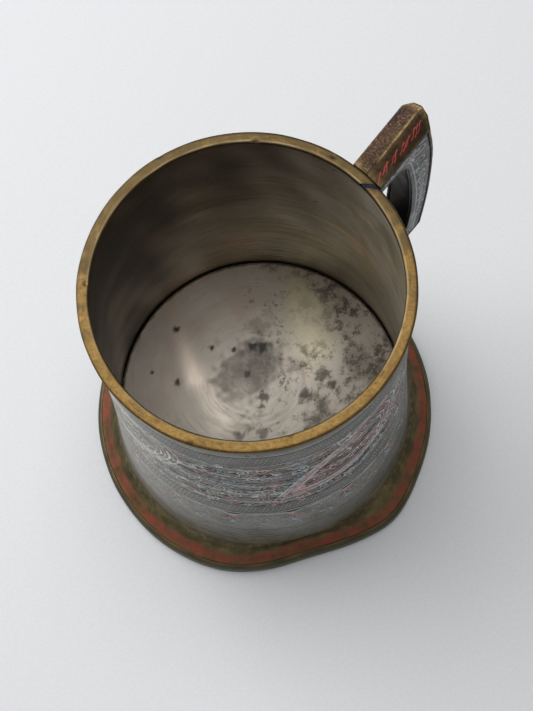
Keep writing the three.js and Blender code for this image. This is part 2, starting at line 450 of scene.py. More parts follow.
def wall_drawing():
    d = Drawing()
    girth = 2 * math.pi * UNROLL_RADIUS
    rng = np.random.default_rng(58)

    def ring(height, width, ink):
        d.line([(-girth / 2, height), (girth / 2, height)], width, ink)

    for top, bottom in ROPE_BANDS:
        count = int(girth / 1.3)
        for k in range(count):
            x = -girth / 2 + girth * k / count
            ink = ROPE_INK if k % 4 else BLUE
            strand = [(x, bottom), (x + 1.7, bottom - 1.5), (x + 0.8, top + 1.5), (x + 2.5, top)]
            d.line(bezier(strand, np.linspace(0, 1, 6)), 0.26, ink)
        ring(top - 0.6, 0.28, BLACK)
        ring(bottom + 0.6, 0.28, BLACK)
        ring(bottom + 1.3, 0.3, WHITE)
    for height in (8.0, FLORET_BAND[1] + 0.6, 93.0, 95.2, 97.4, 99.6, 101.8, 104.2, 105.4):
        ring(height, 0.18 if height > 90 else 0.34, BLACK if height > 90 else WHITE)

    # Long wavy lines run round the band under everything else.
    x = np.linspace(-girth / 2, girth / 2, 240)
    for k in range(9):
        y = PAISLEY_BAND[0] + 2.6 + 4.6 * k
        y = y + 1.5 * np.sin(2 * math.pi * (5 + k % 3) * x / girth + 1.9 * k)
        d.line(np.stack([x, y], -1), 0.42, BLACK if k % 2 else WHITE)

    taken = []
    for k in range(PAISLEY_COUNT):
        x = math.radians(PAISLEY_AT[0]) * UNROLL_RADIUS + girth * k / PAISLEY_COUNT
        middle = np.array([(x + girth / 2) % girth - girth / 2, PAISLEY_AT[1]])
        ink, deep, wash = PINK, ROSE, (0.20, 0.155, 0.16)
        if k == PALE_PAISLEY:
            ink, deep, wash = CREAM, WHITE, (0.30, 0.295, 0.27)
            middle[1] -= 3
        d.field(middle + paisley(0.97), wash)
        borders = [(1.14, 0.5, WHITE), (1.07, 0.34, BLUE), (1.0, 0.66, ink), (0.93, 0.36, deep),
                   (0.86, 0.5, ink), (0.78, 0.36, WHITE)]
        for scale, width, colour in borders:
            d.outline(middle + paisley(scale), width, colour)
        taken.append(middle + paisley(1.14))
        head = middle + [9.0, -5.0]
        for hand in (-1, 1):
            side = np.array([-hand * 3.4, -hand * 5.2]) * 0.95
            d.line(spiral(head + side, 4.7, 200 + 180 * (hand > 0), 1.6, hand), 0.5, ink)
            base = head + side * 0.3 - [4, -2.4]
            d.outline(leaf(base, 5, 2.0, 160 + 40 * hand, hand), 0.4, WHITE)
        for share, size in ((0.1, 3.6), (0.42, 2.6), (0.72, 1.6)):
            at = middle + np.array([-19.0, 12.5]) * share + [1.5, 0]
            d.line(spiral(at, size, 60, 1.7, 1), 0.45, ink)
            for turn in (20, 110, 200, 290):
                a = math.radians(turn)
                out = at + size * 1.15 * np.array([math.cos(a), math.sin(a)])
                d.outline(leaf(out, size * 0.7, size * 0.4, turn + 35), 0.34, deep)

    # Vines fill the rest of the band: curls and leaves wherever none is near and no paisley lies.
    tries = 9000
    across, down = rng.uniform(-girth / 2, girth / 2, tries), rng.uniform(*PAISLEY_BAND, tries)
    spots = np.stack([across, down], -1)
    sizes = rng.uniform(1.7, 3.1, tries)
    covered = np.zeros((tries, 4))
    for outline in taken:
        for shift in (-girth, 0, girth):
            inside(spots, outline + [shift, 0], covered, WHITE)
    margin = np.minimum(spots[:, 1] - PAISLEY_BAND[0], PAISLEY_BAND[1] - spots[:, 1])
    free = (covered[:, 3] == 0) & (margin > sizes)
    placed = np.zeros((0, 3))
    for at, size in zip(spots[free], sizes[free]):
        room = np.hypot(placed[:, 0] - at[0], placed[:, 1] - at[1]) - 1.12 * (placed[:, 2] + size)
        if not len(placed) or room.min() > 0:
            placed = np.concatenate([placed, [[*at, size]]])
    for number, (x, y, size) in enumerate(placed):
        ink = (WHITE, BLUE, WHITE, PINK, WHITE, WHITE, ROSE)[number % 7]
        start = rng.uniform(0, 360)
        hand = 1 if number % 2 else -1
        if size > 1.9:
            d.line(spiral((x, y), size, start, 1.5, hand), 0.36, ink)
            for turn in (0, 75, 150):
                a = math.radians(start + 180 + turn)
                out = (x + size * math.cos(a), y + size * math.sin(a))
                shape = leaf(out, size * 0.85, size * 0.5, start + 150 + turn, hand * 0.4)
                d.outline(shape, 0.24, ink, dimmed(ink, 0.35))
        else:
            a = math.radians(start)
            base = (x - 0.7 * size * math.cos(a), y - 0.7 * size * math.sin(a))
            for turn in (-38, 0, 38):
                shape = leaf(base, size * 1.5, size * 0.5, start + turn)
                d.outline(shape, 0.24, ink, dimmed(ink, 0.35))

    # A festoon with a hanging floret at each joint.
    top = FLORET_BAND[0]
    pitch = girth / FLORET_COUNT
    for k in range(FLORET_COUNT):
        x = math.radians(-143.5) * UNROLL_RADIUS + pitch * k
        x = (x + girth / 2) % girth - girth / 2
        ink = PINK if k % 2 else ROSE
        hang = [(0, 3.6), (0.2 * pitch, 0.6), (0.8 * pitch, 0.6), (pitch, 3.6)]
        arch = bezier([(x + right, top + down) for right, down in hang], np.linspace(0, 1, 14))
        d.line(arch, 0.46, WHITE)
        d.line(arch + [0, 1.1], 0.34, BLUE)
        d.line([(x - 1.7, top + 1.4), (x + 1.7, top + 1.4)], 0.7, BLACK)
        for turn in (55, 90, 125):
            d.outline(leaf((x, top + 4.2), 6.2, 2.3, turn), 0.28, PINK, dimmed(ink, 0.5))
        for turn, length in ((40, 5.0), (65, 6.0), (115, 6.0), (140, 5.0)):
            bend = 0.6 if turn < 90 else -0.6
            d.outline(leaf((x, top + 10.8), length, 1.5, turn, bend), 0.28, BLUE)
        middle = x + pitch / 2
        for hand in (-1, 1):
            curl = spiral((middle + hand * 2.3, top + 7.5), 2.3, 90 - 90 * hand, 1.4, -hand)
            frond = leaf((middle + hand * 1.0, top + 12.0), 5.2, 1.6, 90 - 28 * hand, 0.5 * hand)
            d.line(curl, 0.30, ROPE_INK)
            d.outline(frond, 0.28, ROPE_INK)
        d.line([(middle, top + 9), (middle, top + 16.5)], 0.28, ROPE_INK)
        d.dot((middle, top + 4.6), 1.1, ink)

    for k in range(DOT_COUNT):
        x = -girth / 2 + girth * (k + 0.5) / DOT_COUNT
        top = DOT_ROW - 0.9 + rng.uniform(-0.3, 0.3)
        d.line([(x - 0.35, top), (x + 0.35, DOT_ROW + 0.9)], rng.uniform(0.7, 1.2), BLACK)
    return d


# ---------------------------------------------------------------- materials


class Shade:
    """A metal material under construction: each call adds a node and gives back its output."""

    def __init__(self, name):
        self.material = bpy.data.materials.new(name)
        self.material.use_nodes = True
        self.tree = self.material.node_tree
        self.bsdf = next(n for n in self.tree.nodes if n.type == "BSDF_PRINCIPLED")
        self.place = self.add("ShaderNodeTexCoord").outputs["Object"]

    def add(self, kind, **settings):
        node = self.tree.nodes.new(kind)
        for key, value in settings.items():
            setattr(node, key, value)
        return node

    def feed(self, socket, value):
        if isinstance(value, bpy.types.NodeSocket):
            self.tree.links.new(value, socket)
        elif isinstance(value, tuple) and len(value) == 3 and len(socket.default_value) == 4:
            socket.default_value = (*value, 1)
        else:
            socket.default_value = value

    def math(self, operation, a, b):
        node = self.add("ShaderNodeMath", operation=operation)
        self.feed(node.inputs[0], a)
        self.feed(node.inputs[1], b)
        return node.outputs[0]

    def plus(self, a, b):
        return self.math("ADD", a, b)

    def minus(self, a, b):
        return self.math("SUBTRACT", a, b)

    def times(self, a, b):
        return self.math("MULTIPLY", a, b)

    def vector(self, operation, a, b=(0, 0, 0)):
        node = self.add("ShaderNodeVectorMath", operation=operation)
        self.feed(node.inputs[0], a)
        self.feed(node.inputs[1], b)
        return node.outputs["Value" if operation == "LENGTH" else "Vector"]

    def ramp(self, value, low, high, start=0.0, end=1.0):
        node = self.add("ShaderNodeMapRange", interpolation_type="SMOOTHSTEP")
        for socket, given in zip(node.inputs, (value, low, high, start, end)):
            self.feed(socket, given)
        return node.outputs[0]

    def mix(self, factor, a, b):
        node = self.add("ShaderNodeMix", data_type="RGBA")
        self.feed(node.inputs[0], factor)
        self.feed(node.inputs[6], a)
        self.feed(node.inputs[7], b)
        return node.outputs[2]

    def layered(self, under, *layers):
        """Lays each (mask, colour) over what is under it."""
        for mask, colour in layers:
            under = self.mix(mask, under, colour)
        return under

    def scaled(self, x, y, z):
        return self.vector("MULTIPLY", self.place, (x, y, z))

    def noise(self, scale, detail=4.0, rough=0.55, vector=None, distortion=0.0):
        node = self.add("ShaderNodeTexNoise")
        self.feed(node.inputs["Vector"], vector or self.place)
        given = {"Scale": scale, "Detail": detail, "Roughness": rough, "Distortion": distortion}
        for label, value in given.items():
            node.inputs[label].default_value = value
        return node.outputs["Fac"]

    def cells(self, scale, vector=None):
        node = self.add("ShaderNodeTexVoronoi")
        self.feed(node.inputs["Vector"], vector or self.place)
        node.inputs["Scale"].default_value = scale
        return node.outputs["Distance"]

    def field(self, name):
        return self.add("ShaderNodeAttribute", attribute_name=name).outputs["Fac"]

    def ink(self, name):
        return self.add("ShaderNodeAttribute", attribute_name=name).outputs["Color"]

    def cover(self, name):
        return self.add("ShaderNodeAttribute", attribute_name=name).outputs["Alpha"]

    def split(self, vector):
        node = self.add("ShaderNodeSeparateXYZ")
        self.feed(node.inputs[0], vector)
        return node.outputs

    def height(self):
        return self.split(self.place)[2]

    def towards(self, x, y):
        """How far the point lies along the level direction (x, y), in metres."""
        place = self.split(self.place)
        return self.plus(self.times(place[0], x), self.times(place[1], y))

    def polar(self, centre=(0.0, 0.0)):
        """(direction x, direction y, radius) about an upright axis, so that rings stay rings."""
        middle = (AXIS_X * MM + centre[0] * MM, centre[1] * MM, 0)
        shifted = self.vector("SUBTRACT", self.place, middle)
        flat = self.vector("MULTIPLY", shifted, (1, 1, 0))
        radius = self.vector("LENGTH", flat)
        way = self.split(self.vector("NORMALIZE", flat))
        joined = self.add("ShaderNodeCombineXYZ")
        for k, value in enumerate((way[0], way[1], radius)):
            self.feed(joined.inputs[k], value)
        return joined.outputs[0]

    def bumps(self, *layers):
        """Bump layers of (height, distance in metres), one on the other."""
        normal = None
        for height, distance in layers:
            node = self.add("ShaderNodeBump")
            node.inputs["Strength"].default_value = 1.0
            node.inputs["Distance"].default_value = distance
            self.feed(node.inputs["Height"], height)
            if normal:
                self.feed(node.inputs["Normal"], normal)
            normal = node.outputs[0]
        return normal

    def finish(
        self, colour, roughness, metallic, normal, specular=None, anisotropic=0.0, edge=None
    ):
        """Wires up the surface; edge is the tint of its glancing reflections."""
        given = {"Base Color": colour, "Roughness": roughness, "Metallic": metallic}
        for label, value in given.items():
            self.feed(self.bsdf.inputs[label], value)
        self.feed(self.bsdf.inputs["Normal"], normal)
        if specular is not None:
            self.bsdf.inputs["Specular IOR Level"].default_value = specular
        if anisotropic:
            self.bsdf.inputs["Anisotropic"].default_value = anisotropic
            tangent = self.add("ShaderNodeTangent", direction_type="RADIAL", axis="Z")
            self.feed(self.bsdf.inputs["Tangent"], tangent.outputs[0])
        if edge:
            self.bsdf.inputs["Specular Tint"].default_value = (edge, edge, edge, 1)
        return self.material


# Level directions from the mug's axis: towards the front the floor is painted in shade and the rim
# painted lighter, towards the lit side the body is painted lighter, and towards the stained side
# the floor's stains gather.
FRONT = (-0.60, -0.80)
LIT_SIDE = (-0.81, 0.59)
STAINED_SIDE = (0.75, -0.66)
INSIDE_SHADE_HEIGHTS = (0.055, 0.122)  # heights, in metres, over which the inside's painted shade turns browner towards the top


def engraved_body():
    m = Shade("tinned_engraved_body")
    down = m.field("down")
    worn = m.noise(55, 5, 0.6)
    fine = m.noise(1, 3, 0.7, m.scaled(260, 260, 3400))
    grain = m.noise(2600, 2, 0.6)
    tin = m.mix(m.ramp(worn, 0.35, 0.7), (0.35, 0.34, 0.31), (0.21, 0.203, 0.182))
    tin = m.layered(
        tin,
        (m.ramp(fine, 0.5, 0.8, 0, 0.5), (0.44, 0.43, 0.40)),
        (m.ramp(m.noise(240, 4, 0.7), 0.6, 0.72, 0, 0.7), (0.055, 0.052, 0.046)),
        (m.times(m.cover("wash"), m.ramp(grain, 0.25, 0.6, 0.85, 0.45)), m.ink("wash")),
    )
    # Fine lines flow along the band, as the contours of a wandering height.
    wander = m.times(m.noise(1, 3, 0.55, m.scaled(85, 85, 110)), 13.0)
    wave = m.math("PINGPONG", m.plus(down, wander), 0.62)
    band = m.times(m.ramp(down, 16.6, 17.6), m.ramp(down, 60.0, 61.0, 1, 0))
    tone = m.mix(m.ramp(m.noise(95, 3, 0.6), 0.50, 0.60), (0.62, 0.61, 0.57), (0.58, 0.41, 0.38))
    tin = m.layered(
        tin,
        (m.times(band, m.ramp(wave, 0.30, 0.16, 0, 0.85)), (0.032, 0.030, 0.028)),
        (m.times(band, m.ramp(wave, 0.40, 0.56, 0, 0.8)), tone),
    )
    line = m.ramp(m.field("cut"), -0.02, 0.14, 1, 0)
    kept = m.ramp(m.noise(420, 3, 0.7), 0.30, 0.5, 0.35, 1)
    inked = m.times(line, kept)
    shade = m.ramp(m.field("cut"), 0.08, 0.40, 0.6, 0)
    tin = m.mix(shade, tin, (0.03, 0.029, 0.027))
    colour = m.mix(inked, tin, m.ink("ink"))
    wavering = m.plus(down, m.times(m.minus(m.noise(70, 3, 0.6), 0.5), 3.2))
    cloud = m.ramp(m.noise(180, 5, 0.7), 0.35, 0.7)
    olive = m.mix(cloud, (0.075, 0.063, 0.030), (0.17, 0.135, 0.058))
    grimy = m.times(m.ramp(down, 62, 104, 0, 0.8), m.ramp(m.noise(300, 5, 0.75), 0.54, 0.68))
    colour = m.mix(grimy, colour, (0.05, 0.045, 0.03))
    # Painted light: the body is paler towards its lit left side.
    lit_side = m.towards(*LIT_SIDE)
    colour = m.layered(
        colour,
        (m.ramp(lit_side, 0.018, 0.048, 0, 0.38), (0.82, 0.79, 0.73)),
        (m.ramp(wavering, *OLIVE_FADE), olive),
    )
    cloud = m.ramp(m.noise(330, 5, 0.75), 0.38, 0.68)
    lacquer = m.mix(cloud, (0.25, 0.062, 0.040), (0.12, 0.065, 0.036))
    red = m.times(m.ramp(wavering, *RED_FADE_IN), m.ramp(wavering, *RED_FADE_OUT, 1, 0))
    red = m.times(red, m.ramp(m.noise(190, 6, 0.75), 0.34, 0.56, 0.2, 0.95))
    colour = m.layered(
        colour,
        (red, lacquer),
        # Painted shadow under the rim across the top few millimetres of the wall.
        (m.ramp(down, 6.5, 2.0), (0.02, 0.016, 0.01)),
    )
    rough = m.ramp(m.plus(m.times(fine, 0.5), m.times(worn, 0.5)), 0.3, 0.75, 0.30, 0.52)
    rough = m.plus(rough, m.times(inked, 0.2))
    metal = m.minus(0.5, m.times(m.math("MAXIMUM", inked, red), 0.5))
    normal = m.bumps((m.field("cut"), 0.00010), (fine, 0.00003), (grain, 0.00002))
    return m.finish(colour, rough, metal, normal, specular=0.2, edge=0.25)


def inside_wall():
    m = Shade("tinned_inside")
    rings = m.noise(1, 5, 0.75, m.scaled(26, 26, 620))
    hair = m.noise(1, 3, 0.7, m.scaled(90, 90, 5200))
    cloud = m.noise(26, 5, 0.6)
    green = m.noise(30, 5, 0.65, m.scaled(1, 1, 1.7))
    colour = m.mix(m.ramp(cloud, 0.35, 0.68), (0.60, 0.53, 0.42), (0.80, 0.71, 0.58))
    colour = m.layered(
        colour,
        (m.ramp(m.noise(34, 4, 0.6, distortion=0.6), 0.50, 0.64, 0, 0.75), (0.82, 0.56, 0.40)),
        (m.ramp(green, 0.46, 0.62, 0, 0.75), (0.46, 0.41, 0.25)),
        (m.ramp(rings, 0.50, 0.72, 0, 0.75), (0.92, 0.84, 0.70)),
        (m.ramp(rings, 0.46, 0.30, 0, 0.6), (0.15, 0.125, 0.09)),
        (m.ramp(hair, 0.55, 0.72, 0, 0.5), (0.13, 0.11, 0.085)),
    )
    # Away from the painted light columns the inside is painted in shade, browner towards the top.
    high = m.ramp(m.height(), *INSIDE_SHADE_HEIGHTS)
    dim = m.minus(1.0, m.field("gleam"))
    colour = m.layered(
        colour,
        (m.times(m.times(high, dim), 0.6), (0.085, 0.062, 0.032)),
        (m.times(dim, 0.95), (0.034, 0.024, 0.014)),
    )
    scratch = m.ramp(m.noise(1, 2, 0.6, m.scaled(60, 60, 2600)), 0.66, 0.72, 0, 0.5)
    colour = m.mix(scratch, colour, (0.03, 0.025, 0.018))
    spots = m.ramp(m.noise(210, 3, 0.8), 0.68, 0.74, 0, 0.9)
    colour = m.mix(spots, colour, (0.03, 0.025, 0.02))
    seam = m.ramp(m.height(), FLOOR_TOP * MM + 0.0022, FLOOR_TOP * MM + 0.0004)
    colour = m.mix(m.times(seam, m.ramp(cloud, 0.35, 0.6, 0.2, 0.8)), colour, (0.06, 0.05, 0.035))
    rough = m.ramp(m.plus(m.times(rings, 0.6), m.times(cloud, 0.4)), 0.3, 0.75, 0.25, 0.46)
    return m.finish(colour, rough, 0.55, m.bumps((rings, 0.00008), (hair, 0.00002)), specular=0.25,
                    anisotropic=0.4, edge=0.4)


def floor_metal():
    m = Shade("tinned_floor")
    rings_at = m.polar(FLOOR_CENTRE)
    rings = m.noise(1, 4, 0.75, m.vector("MULTIPLY", rings_at, (2.2, 2.2, 900)))
    hair = m.noise(1, 3, 0.7, m.vector("MULTIPLY", rings_at, (5, 5, 4600)))
    colour = m.mix(m.ramp(m.noise(34, 4, 0.6), 0.35, 0.68), (0.72, 0.65, 0.57), (0.86, 0.80, 0.72))
    colour = m.layered(
        colour,
        (m.ramp(m.noise(48, 3, 0.5), 0.5, 0.68, 0, 0.5), (0.66, 0.50, 0.42)),
        (m.ramp(rings, 0.50, 0.75, 0, 0.32), (0.36, 0.33, 0.29)),
        (m.ramp(hair, 0.52, 0.75, 0, 0.35), (0.80, 0.77, 0.72)),
    )
    # Painted reflections on the floor: a pale streak and a warm patch, streaked along the lathe
    # lines.
    streaky = m.ramp(hair, 0.3, 0.7, 0.65, 1)
    colour = m.layered(
        colour,
        (m.times(m.field("highlight_streak"), streaky), (1.0, 0.86, 0.74)),
        (m.times(m.field("highlight_patch"), streaky), (1.0, 0.92, 0.68)),
    )
    # Stains gather on the handle's side and towards the front.
    gather = m.ramp(m.towards(*STAINED_SIDE), -0.026, 0.020, -0.10, 0.075)
    patch = m.plus(m.noise(62, 7, 0.72), gather)
    fleck = m.plus(m.noise(250, 8, 0.82), m.times(gather, 0.85))
    # Less stain where the painted reflections lie.
    away_from_highlight = m.minus(1.0, m.times(m.field("highlight_patch"), 0.8))
    darkening = m.times(away_from_highlight, m.ramp(patch, 0.50, 0.62, 0, 0.55))
    colour = m.mix(darkening, colour, (0.28, 0.245, 0.19))
    specks = m.times(away_from_highlight, m.ramp(fleck, 0.555, 0.64, 0, 0.78))
    colour = m.mix(specks, colour, (0.10, 0.088, 0.066))
    stain = m.field("stain")
    mottle = m.times(stain, m.ramp(m.noise(190, 6, 0.75), 0.30, 0.62, 0.6, 1))
    colour = m.layered(
        colour,
        (mottle, (0.13, 0.115, 0.095)),
        (m.field("spot"), (0.022, 0.02, 0.014)),
    )
    rough = m.ramp(rings, 0.3, 0.75, 0.38, 0.50)
    rough = m.plus(rough, m.times(m.ramp(patch, 0.5, 0.64), 0.14))
    # Painted shade on the floor towards the front, under the near wall.
    near = m.ramp(m.towards(*FRONT), -0.022, 0.032, 0, 0.78)
    colour = m.mix(near, colour, (0.12, 0.102, 0.078))
    bright = m.math("MAXIMUM", m.field("highlight_streak"), m.field("highlight_patch"))
    metal = m.plus(0.22, m.times(bright, 0.60))
    normal = m.bumps((rings, 0.000005), (hair, 0.000005), (fleck, 0.00001))
    return m.finish(colour, rough, metal, normal, anisotropic=0.5)


def rim_brass():
    m = Shade("rim_brass")
    grain = m.noise(1500, 3, 0.7)
    streak = m.noise(1, 4, 0.7, m.scaled(150, 150, 5200))
    lathe = m.noise(1, 3, 0.7, m.vector("MULTIPLY", m.polar(), (9, 9, 4200)))
    tarnish = m.noise(230, 6, 0.72)
    spots = m.noise(760, 4, 0.75)
    # Painted shade and light: the tarnish is pushed darker at the back of the rim and lighter at
    # the front.
    painted_back_shade = m.ramp(m.towards(*FRONT), -0.035, 0.04, 0.20, -0.10)
    colour = m.mix(m.ramp(grain, 0.3, 0.7), (0.12, 0.073, 0.025), (0.18, 0.112, 0.038))
    colour = m.layered(
        colour,
        (m.ramp(m.plus(tarnish, painted_back_shade), 0.42, 0.66, 0, 0.9), (0.085, 0.060, 0.029)),
        (m.ramp(lathe, 0.52, 0.75, 0, 0.4), (0.27, 0.185, 0.075)),
        (m.ramp(streak, 0.60, 0.78, 0, 0.3), (0.10, 0.065, 0.025)),
        (m.ramp(spots, 0.62, 0.70, 0, 0.8), (0.06, 0.035, 0.015)),
        (m.field("worn"), (0.25, 0.195, 0.11)),
        # Dark joint and nicks, and painted shade along the rim's lower edge.
        (m.field("darkening"), (0.030, 0.020, 0.010)),
    )
    rough = m.ramp(tarnish, 0.3, 0.75, 0.40, 0.56)
    normal = m.bumps((lathe, 0.00003), (spots, 0.00003), (grain, 0.00002))
    return m.finish(colour, rough, 1.0, normal)


def foot_brass():
    m = Shade("foot_brass")
    tarnish = m.noise(140, 6, 0.7)
    streak = m.noise(1, 3, 0.7, m.scaled(300, 300, 4200))
    colour = m.mix(m.ramp(tarnish, 0.35, 0.7), (0.060, 0.052, 0.028), (0.11, 0.092, 0.047))
    colour = m.layered(
        colour,
        (m.ramp(streak, 0.55, 0.8, 0, 0.4), (0.24, 0.20, 0.105)),
        (m.ramp(m.noise(420, 5, 0.75), 0.56, 0.7, 0, 0.8), (0.03, 0.024, 0.014)),
        (m.times(m.field("worn"), 0.6), (0.26, 0.21, 0.11)),
    )
    rough = m.ramp(tarnish, 0.3, 0.7, 0.38, 0.58)
    return m.finish(colour, rough, 1.0, m.bumps((streak, 0.00006), (tarnish, 0.00008)))


def solder_metal(name, colour):
    m = Shade(name)
    lumps = m.noise(520, 4, 0.7)
    pits = m.cells(900)
    tone = m.mix(m.ramp(lumps, 0.35, 0.7), colour, dimmed(colour, 2.4))
    tone = m.mix(m.ramp(pits, 0.0, 0.25, 0.7, 0), tone, dimmed(colour, 0.3))
    rough = m.ramp(lumps, 0.3, 0.7, 0.42, 0.68)
    return m.finish(tone, rough, 0.9, m.bumps((lumps, 0.00014), (pits, 0.00006)))


def cheek_metal():
    m = Shade("engraved_cheek")
    worn = m.noise(120, 5, 0.65)
    hair = m.noise(1, 3, 0.7, m.scaled(2600, 300, 420))
    grain = m.noise(2400, 2, 0.6)
    tin = m.mix(m.ramp(worn, 0.35, 0.7), (0.058, 0.057, 0.056), (0.028, 0.027, 0.027))
    tin = m.layered(
        tin,
        (m.ramp(hair, 0.5, 0.8, 0, 0.4), (0.11, 0.108, 0.105)),
        (m.times(m.cover("wash"), m.ramp(grain, 0.25, 0.6, 0.9, 0.5)), m.ink("wash")),
        (m.ramp(m.field("cut"), 0.04, 0.3, 0.5, 0), (0.07, 0.07, 0.07)),
    )
    kept = m.ramp(m.noise(500, 3, 0.7), 0.3, 0.5, 0.5, 1)
    inked = m.times(m.ramp(m.field("cut"), -0.05, 0.08, 1, 0), kept)
    colour = m.mix(inked, tin, m.ink("ink"))
    rough = m.ramp(worn, 0.3, 0.7, 0.32, 0.5)
    metal = m.minus(1.0, m.times(inked, 0.7))
    normal = m.bumps((m.field("cut"), 0.00008), (hair, 0.00002), (grain, 0.00002))
    return m.finish(colour, rough, metal, normal)


def strap_metal():
    m = Shade("tinned_strap_in_painted_shade")
    worn = m.noise(130, 5, 0.65)
    hair = m.noise(1, 3, 0.7, m.scaled(300, 3600, 300))
    # Near black: painted shade for the shadowed inner face of the handle's opening, under the tin's
    # streaks and spots.
    tin = m.mix(m.ramp(worn, 0.35, 0.7), (0.022, 0.020, 0.018), (0.012, 0.011, 0.010))
    tin = m.layered(
        tin,
        (m.ramp(hair, 0.5, 0.8, 0, 0.4), (0.045, 0.042, 0.039)),
        (m.ramp(m.noise(380, 4, 0.75), 0.58, 0.7, 0, 0.8), (0.04, 0.035, 0.028)),
    )
    rough = m.ramp(worn, 0.3, 0.7, 0.34, 0.55)
    return m.finish(tin, rough, 1.0, m.bumps((hair, 0.00004), (worn, 0.00005)))


def spine_copper():
    m = Shade("spine_copper")
    cloud = m.noise(150, 6, 0.7)
    grit = m.noise(1500, 3, 0.7)
    brown = m.mix(m.ramp(cloud, 0.35, 0.7), (0.050, 0.031, 0.019), (0.088, 0.058, 0.033))
    brown = m.mix(m.ramp(grit, 0.52, 0.72, 0, 0.7), brown, (0.022, 0.014, 0.010))
    line = m.ramp(m.field("cut"), -0.05, 0.09, 1, 0)
    colour = m.mix(line, brown, m.ink("ink"))
    scuff = m.ramp(m.noise(700, 4, 0.75), 0.35, 0.6, 0.35, 1)
    colour = m.layered(
        colour,
        (m.times(m.field("worn"), scuff), (0.50, 0.36, 0.15)),
        (m.field("darkening"), (0.028, 0.016, 0.010)),
    )
    rough = m.ramp(cloud, 0.3, 0.7, 0.36, 0.56)
    metal = m.minus(1.0, m.times(line, 0.85))
    normal = m.bumps((m.field("cut"), 0.00010), (grit, 0.00006), (cloud, 0.00006))
    return m.finish(colour, rough, metal, normal)


# ---------------------------------------------------------------- body wall

WALL_CURVES = [
    [(NECK_RADIUS, WALL_TOP), (NECK_RADIUS + 1.7, 92), (ANKLE[0] - 3.6, 52), ANKLE],
    [ANKLE, (ANKLE[0] + 1.4, 14.5), (ANKLE[0] + 3.7, 7.6), FLARE],
]


def wall_profile(rows):
    """Even points down the wall's outside, their outward normals and distances from the top."""
    t = np.linspace(0, 1, 400)
    line = spaced(np.concatenate([bezier(WALL_CURVES[0], t), bezier(WALL_CURVES[1], t)[1:]]), rows)
    along = np.gradient(line, axis=0)
    along /= np.linalg.norm(along, axis=1)[:, None]
    return line, np.stack([-along[:, 1], along[:, 0]], -1), distances(line)


# Painted light columns on the inside: azimuth, half width, strength and how fast it fades upwards.
GLEAMS = [(80, 13, 0.65, 0.75), (45, 21, 1.0, 0.75), (4, 28, 1.0, 0.1), (-40, 28, 1.0, 0.05),
          (131, 9, 0.6, 1.3), (-126, 60, 0.4, 0.2), (20, 90, 0.35, 1.5)]


def make_wall():
    outer, out_normal, down = wall_profile(WALL_ROWS)
    inner_line, in_normal, _ = wall_profile(INSIDE_ROWS)
    inner = (inner_line - WALL * in_normal)[::-1]
    inner[-1, 1] = WALL_TOP
    azimuth = np.linspace(-180, 180, WALL_COLUMNS, endpoint=False)
    a_grid, down_grid = np.meshgrid(azimuth, down)
    x_grid = np.radians(a_grid) * UNROLL_RADIUS
    cut, ink, wash = wall_drawing().on(np.stack([x_grid.ravel(), down_grid.ravel()], -1),
                                       2 * math.pi * UNROLL_RADIUS)
    engraved = 0.10 * np.clip(0.5 - cut / 0.4, 0, 1).reshape(x_grid.shape)
    unevenness = 0.10 * ripple(x_grid, down_grid, 26, 3) + 0.035 * ripple(x_grid, down_grid, 7, 4)
    edge = smoothstep(down_grid, 0, 3) * (1 - smoothstep(down_grid, down[-1] - 3, down[-1]))
    sink = -0.16 * edge + (unevenness - engraved) * edge
    radius = outer[:, :1] + out_normal[:, :1] * sink
    height = outer[:, 1:] + out_normal[:, 1:] * sink
    outside = around(radius, height, azimuth[None])
    inside_radius = inner[:, :1] + 0.12 * ripple(inner[:, 1:], azimuth[None] * 0 + 5, 19, 8) * 0.3
    inside_points = around(inside_radius, inner[:, 1:] + azimuth[None] * 0, azimuth[None])
    rows = WALL_ROWS + len(inner)
    points = dented(np.concatenate([outside, inside_points]))
    faces = grid_faces(rows, WALL_COLUMNS, wrap_rows=True, wrap_columns=True)
    first, last = faces.min(1), faces.max(1)
    is_outside = (last < (WALL_ROWS + 1) * WALL_COLUMNS) & (first < WALL_ROWS * WALL_COLUMNS)
    is_outside &= last - first <= 3 * WALL_COLUMNS  # the top edge joins the last row to the first
    spare = len(inner) * WALL_COLUMNS
    # Painted light on the inside: bright columns round the wall, fading upwards.
    climb = (inner[:, 1:] - FLOOR_TOP) / (WALL_TOP - FLOOR_TOP)
    gleam = np.zeros((len(inner), WALL_COLUMNS))
    for centre, width, strength, fade in GLEAMS:
        turn = (azimuth[None] - centre + 14 * climb + 180) % 360 - 180
        gleam += strength * bell(turn, width) * np.clip(1 - fade * climb, 0, 1)
    gleam = np.clip(gleam + 0.1 * ripple(inner[:, 1:], azimuth[None] * 0.7, 12, 9), 0, 1)
    pad = np.zeros((spare, 4))
    fields = {
        "cut": np.concatenate([np.minimum(cut, 1.0), np.ones(spare)]),
        "down": np.concatenate([down_grid.ravel(), np.full(spare, down[-1])]),
        "gleam": np.concatenate([np.zeros(down_grid.size), gleam.ravel()]),
    }
    inks = {"ink": np.concatenate([ink, pad]), "wash": np.concatenate([wash, pad])}
    groups, materials = [faces[is_outside], faces[~is_outside]], [engraved_body(), inside_wall()]
    piece("mug_wall", points, groups, materials, "tinned_engraved_brass", ["body_wall"],
          fields, inks, parts=[0, 1])


# ---------------------------------------------------------------- rim, foot and floor

JOINT_INNER = (RIM_RADIUS - RIM_WIDTH, -1.6)  # radius and azimuth of the slanted rim joint's middle
JOINT_OUTER = (RIM_RADIUS, -6.5)
JOINT_WIDTH = 1.8
